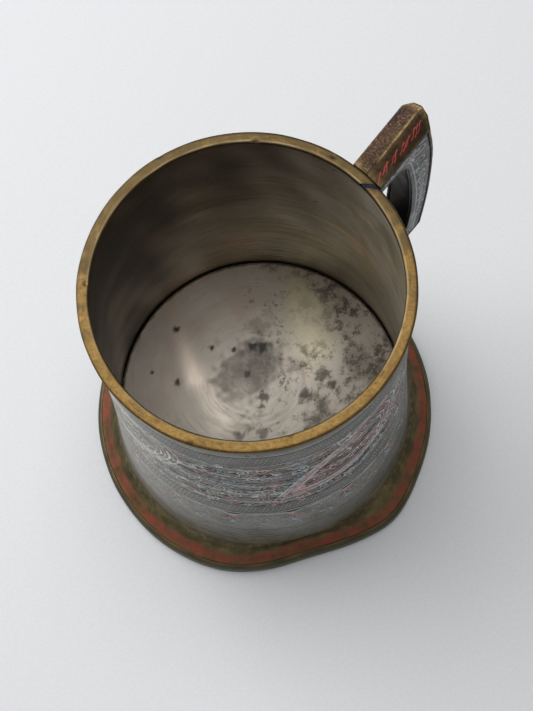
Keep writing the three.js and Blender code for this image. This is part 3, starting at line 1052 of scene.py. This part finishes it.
# Nicks in the rim: radius, azimuth, half width and depth.
NICKS = [(40.3, 42.9, 1.0, 0.5), (41.1, 134.7, 0.5, 0.35), (42.4, 13.6, 0.7, 0.3),
         (40.5, -60.0, 0.9, 0.25), (43.4, -152.0, 0.8, 0.3), (43.4, 78.0, 0.9, 0.25),
         (40.3, -118.0, 0.6, 0.25)]


def joint_azimuth(radius):
    share = (radius - JOINT_INNER[0]) / (JOINT_OUTER[0] - JOINT_INNER[0])
    return JOINT_INNER[1] + share * (JOINT_OUTER[1] - JOINT_INNER[1])


def make_rim():
    inner, outer = RIM_RADIUS - RIM_WIDTH, RIM_RADIUS
    corners = [(inner, RIM_BOTTOM), (inner, HEIGHT), (outer, HEIGHT), (outer, RIM_BOTTOM)]
    section = rounded(corners, 0.75, 0.25)
    half = np.degrees(JOINT_WIDTH / 2 / section[:, 0])
    start = joint_azimuth(section[:, 0]) + half
    end = joint_azimuth(section[:, 0]) - half + 360
    azimuth = start + (end - start) * np.linspace(0, 1, RIM_STATIONS)[:, None]
    run = np.radians(azimuth) * RIM_UNROLL_RADIUS
    r = section[:, 0] + 0 * azimuth
    z = section[:, 1] + 0 * azimuth
    on_top = smoothstep(z, RIM_BOTTOM + 0.7, HEIGHT)
    z = z - on_top * (0.05 + 0.05 * ripple(run, r, 9, 21))
    pull = 0.05 * (1 + ripple(run, z, 12, 22))
    r = np.where(r > RIM_RADIUS - RIM_WIDTH / 2, r - pull, r + pull)
    dig = np.zeros(r.shape)
    for at, turn, wide, deep in NICKS:
        reach = np.hypot(np.radians(turn_between(azimuth, turn)) * at, r - at)
        dig += deep * bell(reach, wide) * on_top
    z = z - dig
    vertices, groups = tube(around(r, z, azimuth))
    chamfer = bell(r - inner - 0.35, 0.28) * smoothstep(z, HEIGHT - 0.7, HEIGHT - 0.1)
    chamfer = chamfer * (0.55 + 0.45 * ripple(run, r, 14, 5))
    from_joint = np.abs(turn_between(azimuth, joint_azimuth(r)))
    from_joint = from_joint * np.radians(1) * RIM_UNROLL_RADIUS
    # Darker round the slanted joint and in the nicks, and painted shade along the rim's lower edge
    # where it meets the wall.
    darkening = 0.8 * bell(from_joint, 1.6) + np.clip(dig * 1.2, 0, 0.7)
    darkening = np.maximum(darkening, 0.9 * (1 - smoothstep(z, RIM_BOTTOM + 0.15, RIM_BOTTOM + 0.75)))
    fields = {
        "worn": np.append(np.clip(chamfer, 0, 1), [0, 0]),
        "darkening": np.append(np.clip(darkening, 0, 1), [1, 1]),
    }
    piece("mug_rim", vertices, groups, [rim_brass()], "bare_brass", ["rim_ring"], fields)


def make_rim_solder():
    inner, outer = RIM_RADIUS - RIM_WIDTH + 0.12, RIM_RADIUS - 0.12
    low, high = RIM_BOTTOM + 0.1, HEIGHT - 0.16
    section = rounded([(inner, low), (inner, high), (outer, high), (outer, low)], 0.55, 0.3)
    share = np.linspace(-1, 1, 13)[:, None]
    half = np.degrees(JOINT_WIDTH / 2 / section[:, 0]) * 1.02
    azimuth = joint_azimuth(section[:, 0]) + half * share
    r = section[:, 0] + 0 * azimuth
    z = section[:, 1] - 0.12 * (1 - share**2) * smoothstep(section[:, 1], RIM_BOTTOM + 0.6, HEIGHT)
    lumps = 0.05 * (1 + ripple(azimuth * 2.0, r, 1.6, 9))
    z = z - lumps * smoothstep(z, RIM_BOTTOM + 0.6, HEIGHT)
    vertices, groups = tube(around(r, z, azimuth))
    material = solder_metal("rim_solder", (0.008, 0.011, 0.016))
    piece("rim_joint", vertices, groups, [material], "solder", ["rim_joint_solder"])


def make_foot():
    inner = FOOT_RADIUS - FOOT_RING_WIDTH
    seat = FLARE[0] + 0.06
    ledge = FLARE[1] - WALL - GAP
    corners = [(inner, 0), (FOOT_RADIUS, 0), (FOOT_RADIUS, 2), (FOOT_RADIUS - 0.2, 4.4),
               (FOOT_RADIUS - 0.8, 5.8), (seat + 0.3, FLARE[1] + 0.1), (seat, FLARE[1] - 0.2),
               (seat, ledge), (inner, ledge)]
    section = rounded(corners, 0.5, 0.35)
    azimuth = np.linspace(-180, 180, FOOT_COLUMNS, endpoint=False)
    run = np.radians(azimuth) * FOOT_UNROLL_RADIUS
    outside = section[:, :1] > seat
    r = section[:, :1] - 0.06 - 0.06 * ripple(run, section[:, 1:], 16, 31) * outside
    z = section[:, 1:] + azimuth * 0
    low_edge = bell(z - 0.9, 0.8) * (section[:, :1] > FOOT_RADIUS - 0.6)
    lip = 0.8 * bell(z - FLARE[1] + 0.2, 0.35) * outside
    worn = np.clip((low_edge + lip) * (0.6 + 0.4 * ripple(run, z, 11, 33)), 0, 1)
    faces = grid_faces(len(section), len(azimuth), True, True)
    piece("foot_edge", dented(around(r, z, azimuth)), [faces], [foot_brass()],
          "aged_foot_brass", ["foot_ring"], {"worn": worn})


FLOOR_CENTRE = (2.0, 7.0)  # where the turner's centre lies on the floor
# The shallow dark patch round that centre.
HOLLOW = {"at": (2.4, 9.2), "across": 14.6, "along": 9.8, "depth": 0.10}
# Dark spots on the floor: x, y and size.
SPOTS = [(-0.6, -1.2, 2.0), (10.4, -11.0, 2.1), (-16.2, -5.4, 1.7), (-10.0, -10.6, 1.9),
         (11.5, 12.0, 2.2), (1.0, 8.4, 1.2), (-18.3, 23.3, 1.2), (-1.3, 24.2, 1.0),
         (-22.3, 32.2, 0.7), (-5.6, 38.0, 1.1), (19.5, -15.0, 1.6), (9.2, 14.8, 1.3),
         (4.0, 18.2, 1.0)]


def beside(x, y, start, end, width):
    """How near each point is to the line from start to end: 1 on it, fading over width."""
    along = np.subtract(end, start)
    share = np.clip(((x - start[0]) * along[0] + (y - start[1]) * along[1]) / (along @ along), 0, 1)
    away = np.hypot(x - start[0] - share * along[0], y - start[1] - share * along[1])
    return bell(away, width)


def make_floor():
    lip = 0.3
    r = np.concatenate([
        np.linspace(0.3, FLOOR_RADIUS - lip, FLOOR_ROWS),
        [FLOOR_RADIUS - 0.1, FLOOR_RADIUS, FLOOR_RADIUS, FLOOR_RADIUS - lip],
        np.linspace(FLOOR_RADIUS - 2, 0.3, UNDERSIDE_ROWS),
    ])
    z = np.concatenate([
        np.full(FLOOR_ROWS, FLOOR_TOP),
        [FLOOR_TOP - 0.06, FLOOR_TOP - lip, FLOOR_BOTTOM + lip, FLOOR_BOTTOM],
        np.full(UNDERSIDE_ROWS, FLOOR_BOTTOM),
    ])
    azimuth = np.linspace(-180, 180, FLOOR_COLUMNS, endpoint=False)
    points = around(r[:, None], z[:, None], azimuth[None])
    x, y = points[..., 0], points[..., 1]
    from_centre = np.hypot(x - FLOOR_CENTRE[0], y - FLOOR_CENTRE[1])
    top = (points[..., 2] > FLOOR_TOP - 0.01).astype(float)
    groove = 0.0015 * np.sin(from_centre * 4.4 + 0.8 * np.sin(from_centre * 0.9))
    across, along = x - HOLLOW["at"][0], y - HOLLOW["at"][1]
    patch = np.hypot(across / HOLLOW["across"], along / HOLLOW["along"])
    bowl = HOLLOW["depth"] * (1 - smoothstep(patch, 0.5, 1.1))
    patch = patch + 0.10 * ripple(x, y, 5.5, 12)
    pit = np.zeros(x.shape)
    wobble = 1 + 0.35 * ripple(x, y, 2.2, 77)
    for px, py, size in SPOTS:
        pit += np.exp(-((np.hypot(x - px, y - py) / size / wobble) ** 4))
    relief = 0.05 + groove + bowl + 0.05 * (1 + ripple(x, y, 26, 41)) + 0.02 * np.clip(pit, 0, 1)
    # Painted reflections: a streak left of the centre and a warm patch to the right.
    highlight_streak = 0.95 * beside(x, y, (-2, 45), (-13, 20), 3.0)
    highlight_streak += 0.35 * beside(x, y, (-13, 20), (-16, 2), 4.0)
    highlight_patch = 0.95 * beside(x, y, (26, 0), (32, 10), 8.0)
    highlight_patch += 0.8 * beside(x, y, (32, 10), (39, 25), 4.5)
    points[..., 2] -= top * np.clip(relief, 0.0, 0.8)
    patch = patch + 0.12 * ripple(x, y, 2.6, 15)
    stain = 0.90 * (1 - smoothstep(patch, 0.66, 1.16))
    stain -= 0.34 * bell(np.hypot(x + 5.0, y - 6.5), 4.5)
    rows, columns = x.shape
    middle = [(0, 0, points[0, :, 2].mean()), (0, 0, FLOOR_BOTTOM)]
    vertices = np.concatenate([points.reshape(-1, 3), middle])
    first = np.arange(columns)
    last = first + (rows - 1) * columns
    caps = [fan(first, rows * columns)[:, ::-1], fan(last, rows * columns + 1)]
    marks = {"highlight_streak": (highlight_streak, 1), "highlight_patch": (highlight_patch, 1), "stain": (stain, 1), "spot": (pit, 0.94)}
    fields = {
        label: np.append(np.clip(values, 0, most) * top, [0, 0])
        for label, (values, most) in marks.items()
    }
    piece("mug_floor", vertices, [grid_faces(rows, columns, wrap_columns=True), *caps],
          [floor_metal()], "tinned_floor", ["floor_disc"], fields)


def make_floor_seam():
    low = FLOOR_TOP + 0.12
    azimuth = np.linspace(-180, 180, SEAM_COLUMNS, endpoint=False)
    around_mm = np.radians(azimuth) * FLOOR_RADIUS
    reach = 0.55 + 0.25 * ripple(around_mm, around_mm * 0, 6, 61)
    rise = 0.45 + 0.2 * ripple(around_mm, around_mm * 0, 5, 62)
    turn = np.linspace(0, math.pi / 2, 6)[:, None]
    r_face = FLOOR_RADIUS - 0.22 - reach * (1 - np.sin(turn)) - 0.05
    z_face = low + rise * (1 - np.cos(turn))
    r = np.concatenate([r_face, np.full((1, len(azimuth)), FLOOR_RADIUS - 0.2)])
    z = np.concatenate([z_face, np.full((1, len(azimuth)), low)])
    piece("floor_seam", around(r, z, azimuth[None]), [grid_faces(len(r), len(azimuth), True, True)],
          [solder_metal("floor_solder", (0.15, 0.13, 0.10))], "solder", ["floor_solder"])


# ---------------------------------------------------------------- handle


def mitred(points):
    """For an open line, the way to move each point so that the moved line stays parallel."""
    along = np.diff(points, axis=0)
    along /= np.linalg.norm(along, axis=1)[:, None]
    left = np.stack([-along[:, 1], along[:, 0]], -1)
    before, after = left[:-1], left[1:]
    middle = (before + after) / (1 + (before * after).sum(1))[:, None]
    return np.concatenate([[(0, 1 / left[0, 1])], middle, [(0, 1 / left[-1, 1])]])


grip_line = spline([ARM_TIP, *GRIP, HEEL], 161)
outer_line = np.concatenate([[ARM_START], grip_line, [ARM_END]])
outer_way = mitred(outer_line)
corner_line = bezier(OPENING_CORNER, np.linspace(0, 1, 31))
heel_line = bezier(OPENING_HEEL, np.linspace(0, 1, 21))
inner_line = np.concatenate(
    [[OPENING_START], corner_line, spline(OPENING_GRIP, 61)[1:], heel_line[1:], [OPENING_END]]
)


def swept(section, at, way, ridge):
    """Points of a section of (across, outward) carried along stations in the handle's plane."""
    across, outward = section[:, 0], section[:, 1]
    height = np.where(outward > 0, outward * ridge[:, None], outward)
    x = at[:, :1] + way[:, :1] * height
    z = at[:, 1:] + way[:, 1:] * height
    return np.stack([x, across + 0 * x, z], -1)


def spine_drawing(length):
    """Slashes down one slope and stipple on the other: x runs along the spine, y across it."""
    d = Drawing()
    rng = np.random.default_rng(17)
    half = HANDLE_WIDTH / 2
    d.line([(-1, 0), (length + 1, 0)], 0.02, BLACK)
    for _ in range(int(length * 16)):
        at = (rng.uniform(0, length), rng.uniform(0.5, half - 0.2))
        size = rng.uniform(0.12, 0.34)
        d.dot(at, size, STIPPLE_RED if rng.random() < 0.4 else STIPPLE_DARK)
    x, group = 0.6, 0
    while x < length - 3:
        for _ in range(SLASHES[group % len(SLASHES)]):
            low, high = -half + 1.7 + rng.uniform(-0.3, 0.2), -2.3 + rng.uniform(-0.3, 0.3)
            lean = rng.uniform(1.9, 2.5)
            bends = [(x, low), (x + 0.6 * lean, low + 0.2), (x + 0.4 * lean, high - 0.2),
                     (x + lean, high)]
            d.line(bezier(bends, np.linspace(0, 1, 7)), rng.uniform(0.18, 0.27), RED)
            x += rng.uniform(1.0, 1.25)
        x += rng.uniform(0.7, 1.1)
        group += 1
    return d


def make_spine(name, at, way, ridge, material):
    half = HANDLE_WIDTH / 2
    shoulder = SHOULDER[1] * RIDGE
    corners = [(-half, -SPINE_EDGE), (half, -SPINE_EDGE), (half, 0), (SHOULDER[0], shoulder),
               (0, RIDGE), (-SHOULDER[0], shoulder), (-half, 0)]
    section = rounded(corners, 0.35, 0.24)
    section[:, 0] *= 1 - SPINE_CLEARANCE
    points = swept(section, at, way, ridge)
    along = distances(at)
    x = along[:, None] + 0 * section[:, 0]
    y = section[:, 0] + 0 * x
    top = section[:, 1] > -0.05
    cut, ink, _ = spine_drawing(along[-1]).on(np.stack([x.ravel(), y.ravel()], -1))
    cut = np.where(np.broadcast_to(top, x.shape).ravel(), cut, 1.0)
    crest = bell(y, 0.26) * top * (0.75 + 0.35 * ripple(x, y * 0, 5, 71))
    rub = 0.0
    if name == "spine_top":
        crest = crest * smoothstep(x, 1.5, 9)
        rub = 0.3 * smoothstep(x, along[-1] - 1.6, along[-1] - 0.2) * top
        rub = rub + 0.22 * (1 - smoothstep(x, 0, 3.0)) * top
    edge = smoothstep(np.abs(y), half - 0.55, half - 0.15)
    worn = np.clip(crest + rub + 0.18 * edge * (section[:, 1] > -0.3), 0, 1)
    # Darker down the spine's side walls towards the cheeks, and at its ends.
    darkening = 0.75 * edge * (1 - smoothstep(section[:, 1] + 0 * x, -0.5, 0.05))
    low = -0.05 * np.clip(0.5 - cut / 0.3, 0, 1).reshape(x.shape) * top
    low = low - 0.04 * (1 + ripple(x, y, 6, 73)) * top
    points[..., 0] += way[:, :1] * low
    points[..., 2] += way[:, 1:] * low
    vertices, groups = tube(points)
    fields = {
        "cut": np.append(np.minimum(cut, 1), [1, 1]),
        "worn": np.append(worn, [0, 0]),
        "darkening": np.append(darkening, [1, 1]),
    }
    inks = {"ink": np.concatenate([ink, np.zeros((2, 4))])}
    node = "handle_" + name
    piece(name, vertices, groups, [material], "copper_brown_patina", [node], fields, inks)


def between(a, b, count):
    t = np.linspace(0, 1, count)[:, None]
    return a + (b - a) * t


def make_spines():
    material = spine_copper()
    trim = GAP / 2 + 0.05

    def inset(at, towards):
        return at + (towards - at) / np.linalg.norm(towards - at) * trim

    tip, heel = 1, len(outer_line) - 2
    at = between(outer_line[0], inset(outer_line[tip], outer_line[0]), ARM_STATIONS)
    way = between(outer_way[0], outer_way[tip], ARM_STATIONS)
    make_spine("spine_top", at, way, np.linspace(RIDGE_AT_RIM, 1, ARM_STATIONS), material)

    line = outer_line[tip : heel + 1].copy()
    line[0], line[-1] = inset(line[0], line[1]), inset(line[-1], line[-2])
    along = distances(line)
    share = np.linspace(0, along[-1], GRIP_STATIONS)
    way = sampled(outer_way[tip : heel + 1], along, share)
    make_spine("spine_back", spaced(line, GRIP_STATIONS), way, np.ones(GRIP_STATIONS), material)

    at = between(inset(outer_line[heel], outer_line[-1]), outer_line[-1], ARM_STATIONS)
    way = between(outer_way[heel], outer_way[-1], ARM_STATIONS)
    make_spine("spine_bottom", at, way, np.ones(ARM_STATIONS), material)


def make_strap():
    half = HANDLE_WIDTH / 2 - CHEEK - GAP
    low, high = 0.05, STRAP - 0.02
    section = rounded([(-half, low), (half, low), (half, high), (-half, high)], 0.25, 0.5)
    along = distances(inner_line)
    share = np.linspace(0, along[-1], STRAP_STATIONS)
    way = sampled(mitred(inner_line), along, share)
    points = swept(section, spaced(inner_line, STRAP_STATIONS), way, np.ones(STRAP_STATIONS))
    lift = 0.05 * ripple(share[:, None], section[:, 0], 9, 81)
    points[..., 0] += way[:, :1] * lift
    points[..., 2] += way[:, 1:] * lift
    piece("handle_strap", *tube(points), [strap_metal()], "engraved_cheek", ["handle_inner_strap"])


def cheek_edges():
    """Matching points on the cheek's opening and outer edges, in three runs."""
    edge = outer_line - outer_way * (SPINE_EDGE + GAP)
    corner, heel = 1 + 15, len(inner_line) - 2 - 10
    runs = [
        (inner_line[: corner + 1], edge[:2], 90),
        (inner_line[corner : heel + 1], edge[1:-1], 260),
        (inner_line[heel:], edge[-2:], 90),
    ]
    near, far = [], []
    for a, b, count in runs:
        near.append(spaced(a, count)[:-1])
        far.append(spaced(b, count)[:-1])
    near.append(inner_line[-1:])
    far.append(edge[-1:])
    return np.concatenate(near), np.concatenate(far)


HATCHED = (62.0, 80.0)  # the run of the cheek's band that holds plain strokes and no curls


def cheek_drawing(near, far):
    """Border lines along both edges and a band of curls between them, in the handle's plane."""
    d = Drawing()
    wide = np.linalg.norm(far - near, axis=1)
    unit = (far - near) / wide[:, None]
    inner_border = near + unit * np.minimum(2.1, 0.34 * wide)[:, None]
    outer_border = far - unit * np.minimum(0.75, 0.14 * wide)[:, None]
    d.line(inner_border, 0.36, SILVER)
    d.line(inner_border + unit * 0.55, 0.3, BLACK)
    d.line(outer_border, 0.34, BLACK)
    along = distances((near + far) / 2)
    at, number = 2.2, 0
    while at < along[-1] - 1.5:
        low = sampled(inner_border + unit * 0.8, along, at)
        high = sampled(outer_border - unit * 0.4, along, at)
        room = np.linalg.norm(high - low)
        out = (high - low) / room
        forward = np.array([out[1], -out[0]])
        turn = math.degrees(math.atan2(out[1], out[0]))
        if HATCHED[0] < at < HATCHED[1]:
            d.line([low, high + forward * 2.0], 0.34, SILVER)
            at += 1.15
            continue
        rows = max(1, int(room / 5.0))
        for row in range(rows):
            base = low + (high - low) * (row + 0.5) / rows
            size = room / rows * 0.36
            hand = 1 if (number + row) % 2 else -1
            curl = spiral(base + out * size * 0.3 * hand, size, turn + 90, 1.25, hand)
            d.line(curl, 0.42, SILVER)
            foot = base - out * size * 1.3 * hand + forward * 0.4
            sprig = leaf(foot, size * 1.5, size * 0.55, turn + 55 * hand, 0.3)
            d.outline(sprig, 0.3, SILVER, SPRIG_FILL)
            d.dot(base + forward * size * 1.25, 0.5, SILVER)
        at += 2.1 * max(room / rows * 0.36, 1.0) + 0.25
        number += 1
    return d


def make_cheeks():
    material = cheek_metal()
    near, far = cheek_edges()
    drawing = cheek_drawing(near, far)
    wide = np.linalg.norm(far - near, axis=1)[:, None]
    unit = (far - near) / wide
    bevel = 0.22
    front, back = np.linspace(0, 1, CHEEK_ROWS), np.linspace(0, 1, CHEEK_BACK_ROWS)
    # Round the section: share of the way to the far edge, a step beyond that, and the depth.
    shares = np.concatenate([[0, 0], front, [1, 1], np.linspace(1, 0, CHEEK_BACK_ROWS), [0]])
    steps = [[0, 0.06], bevel * (1 - 2 * front), [-0.06, 0], bevel * (2 * back - 1), [0]]
    steps = np.round(np.concatenate(steps), 9)
    depths = np.concatenate([[bevel, 0.06], np.zeros(CHEEK_ROWS), [0.06, bevel],
                             np.full(CHEEK_BACK_ROWS, CHEEK), [CHEEK - bevel]])
    flat = near[:, None] + (far - near)[:, None] * shares[:, None] + unit[:, None] * steps[:, None]
    for side, name in ((-1, "cheek_right"), (1, "cheek_left")):
        cut, ink, wash = drawing.on(flat.reshape(-1, 2))
        is_front = np.broadcast_to(depths < 0.03, flat.shape[:2])
        cut = np.where(is_front.ravel(), cut, 1.0)
        wash[~is_front.ravel()] = 0
        sink = 0.05 + 0.06 * np.clip(0.5 - cut / 0.35, 0, 1).reshape(flat.shape[:2])
        sink = sink + 0.03 * (1 + ripple(flat[..., 0], flat[..., 1], 11, 91))
        depth = depths + np.where(is_front, sink, np.where(depths < bevel, 0.06, 0.0))
        y = side * (HANDLE_WIDTH / 2 - depth)
        points = np.stack([flat[..., 0], y, flat[..., 1]], -1)
        fields = {"cut": np.append(np.minimum(cut, 1), [1, 1])}
        pad = np.zeros((2, 4))
        inks = {"ink": np.concatenate([ink, pad]), "wash": np.concatenate([wash, pad])}
        piece(name, *tube(points), [material], "engraved_cheek", ["handle_" + name], fields, inks)


def make_pad(name, low, high, node, seed, material):
    """A smear of solder on the wall: thick in the middle, ragged at its edges."""
    rows, columns = 34, 44
    v, u = np.meshgrid(np.linspace(-1, 1, rows), np.linspace(-1, 1, columns), indexing="ij")
    squeeze = np.sqrt(np.clip(1 - 0.32 * v**2, 0, 1)) * (1 + 0.05 * ripple(v * 4, u * 0, 2.2, seed))
    height = (low + high) / 2 + v * (high - low) / 2 * np.sqrt(1 - 0.22 * u**2)
    line, _, _ = wall_profile(400)
    base = np.interp(height, line[::-1, 1], line[::-1, 0]) + 0.16
    across = u * (PAD_WIDTH / 2 - 0.4) * np.clip(squeeze, 0.5, 1)
    azimuth = np.degrees(np.arcsin(across / base))
    swell = np.clip((1 - u**6) * (1 - v**6), 0, 1) ** 0.5
    lumps = 0.78 + 0.22 * ripple(across, height, 3.4, seed + 1)
    thick = 0.04 + (PAD_THICKNESS - 0.1) * swell * lumps
    front = around(base + thick, height, azimuth).reshape(-1, 3)
    back = around(base, height, azimuth).reshape(-1, 3)
    vertices = np.concatenate([front, back])
    faces = grid_faces(rows, columns)
    ids = np.arange(rows * columns).reshape(rows, columns)
    loop = np.concatenate([ids[0, :-1], ids[:-1, -1], ids[-1, :0:-1], ids[:0:-1, 0]])
    offset = rows * columns
    sides = np.stack([loop, loop + offset, np.roll(loop, -1) + offset, np.roll(loop, -1)], -1)
    groups = [faces[:, ::-1], faces + offset, sides]
    if volume(vertices, groups[:2]) * volume(vertices, groups) < 0:
        groups[2] = sides[:, ::-1]
    piece(name, vertices, groups, [material], "solder", [node])


# ---------------------------------------------------------------- stage, light and camera

CAMERA_TURN = -36.0  # the handle points this far off the picture's right, in degrees
CAMERA_BACK = 98.18  # from the mug's axis
CAMERA_ABOVE_RIM = 252.43
CAMERA_PITCH, CAMERA_YAW, CAMERA_ROLL = 1.2682, -0.0092, -0.1432
LENS = 54.08
SENSOR = 36.0
STAGE_REACH = 4.0  # metres
SKY = (0.93, 0.96, 1.0, 1)
SKY_STRENGTH = 0.32


def make_camera():
    p, y, r = CAMERA_PITCH, CAMERA_YAW, CAMERA_ROLL
    aim = np.array([[1, 0, 0], [0, -math.sin(p), -math.cos(p)], [0, math.cos(p), -math.sin(p)]])
    yaw = np.array([[math.cos(y), 0, math.sin(y)], [0, 1, 0], [-math.sin(y), 0, math.cos(y)]])
    roll = np.array([[math.cos(r), -math.sin(r), 0], [math.sin(r), math.cos(r), 0], [0, 0, 1]])
    right, down, ahead = roll @ yaw @ aim
    columns = np.stack([right, -down, -ahead], 1)
    turn = Matrix.Rotation(math.radians(CAMERA_TURN), 4, "Z")
    place = Matrix.Translation((0, -CAMERA_BACK * MM, (HEIGHT + CAMERA_ABOVE_RIM) * MM))
    facing = Matrix([[*row, 0] for row in columns.tolist()] + [[0, 0, 0, 1]])
    data = bpy.data.cameras.new("camera")
    data.lens, data.sensor_width = LENS, SENSOR
    data.clip_start, data.clip_end = 0.01, 10
    camera = bpy.data.objects.new("camera", data)
    camera.matrix_world = Matrix.Translation((AXIS_X * MM, 0, 0)) @ turn @ place @ facing
    bpy.context.scene.collection.objects.link(camera)
    bpy.context.scene.camera = camera


def make_stage():
    m = Shade("paper")
    grain = m.noise(900, 3, 0.6)
    colour = m.mix(m.ramp(grain, 0.3, 0.7), (0.70, 0.71, 0.725), (0.73, 0.74, 0.755))
    m.finish(colour, 0.75, 0.0, m.bumps((grain, 0.00003)), specular=0.2)
    mesh = bpy.data.meshes.new("table_top")
    sides = ((-1, -1), (1, -1), (1, 1), (-1, 1))
    corners = [(x * STAGE_REACH, y * STAGE_REACH, 0) for x, y in sides]
    mesh.from_pydata(corners, [], [(0, 1, 2, 3)])
    mesh.materials.append(m.material)
    table = bpy.data.objects.new("table_top", mesh)
    bpy.context.scene.collection.objects.link(table)


def lamp(name, azimuth, elevation, distance, size, watts, colour):
    """A soft square light aimed at the mug; azimuth is counted in the picture's own turn."""
    a, e = math.radians(azimuth + CAMERA_TURN), math.radians(elevation)
    way = Vector((math.cos(a) * math.cos(e), math.sin(a) * math.cos(e), math.sin(e)))
    data = bpy.data.lights.new(name, "AREA")
    data.shape, data.size, data.energy, data.color = "SQUARE", size, watts, colour
    light = bpy.data.objects.new(name, data)
    light.location = Vector((0, 0, HEIGHT * MM / 2)) + way * distance
    light.rotation_mode = "QUATERNION"
    light.rotation_quaternion = (-way).to_track_quat("-Z", "Y")
    bpy.context.scene.collection.objects.link(light)


def make_light():
    world = bpy.data.worlds.new("studio")
    world.use_nodes = True
    background = world.node_tree.nodes["Background"]
    background.inputs["Color"].default_value = SKY
    background.inputs["Strength"].default_value = SKY_STRENGTH
    bpy.context.scene.world = world
    lamp("window", 140, 44, 1.1, 1.0, 9.0, (0.99, 0.99, 1.0))
    lamp("overhead", 80, 80, 1.1, 0.6, 5.2, (1.0, 0.985, 0.95))
    bpy.context.scene.view_settings.view_transform = "Standard"


# ---------------------------------------------------------------- assembly

for make in (make_camera, make_stage, make_light, make_wall, make_rim, make_rim_solder,
             make_foot, make_floor, make_floor_seam, make_spines, make_strap, make_cheeks):
    make()
pad_metal = solder_metal("handle_solder", (0.035, 0.036, 0.038))
make_pad("upper_pad", *UPPER_PAD, "handle_upper_solder", 51, pad_metal)
make_pad("lower_pad", *LOWER_PAD, "handle_lower_solder", 53, pad_metal)
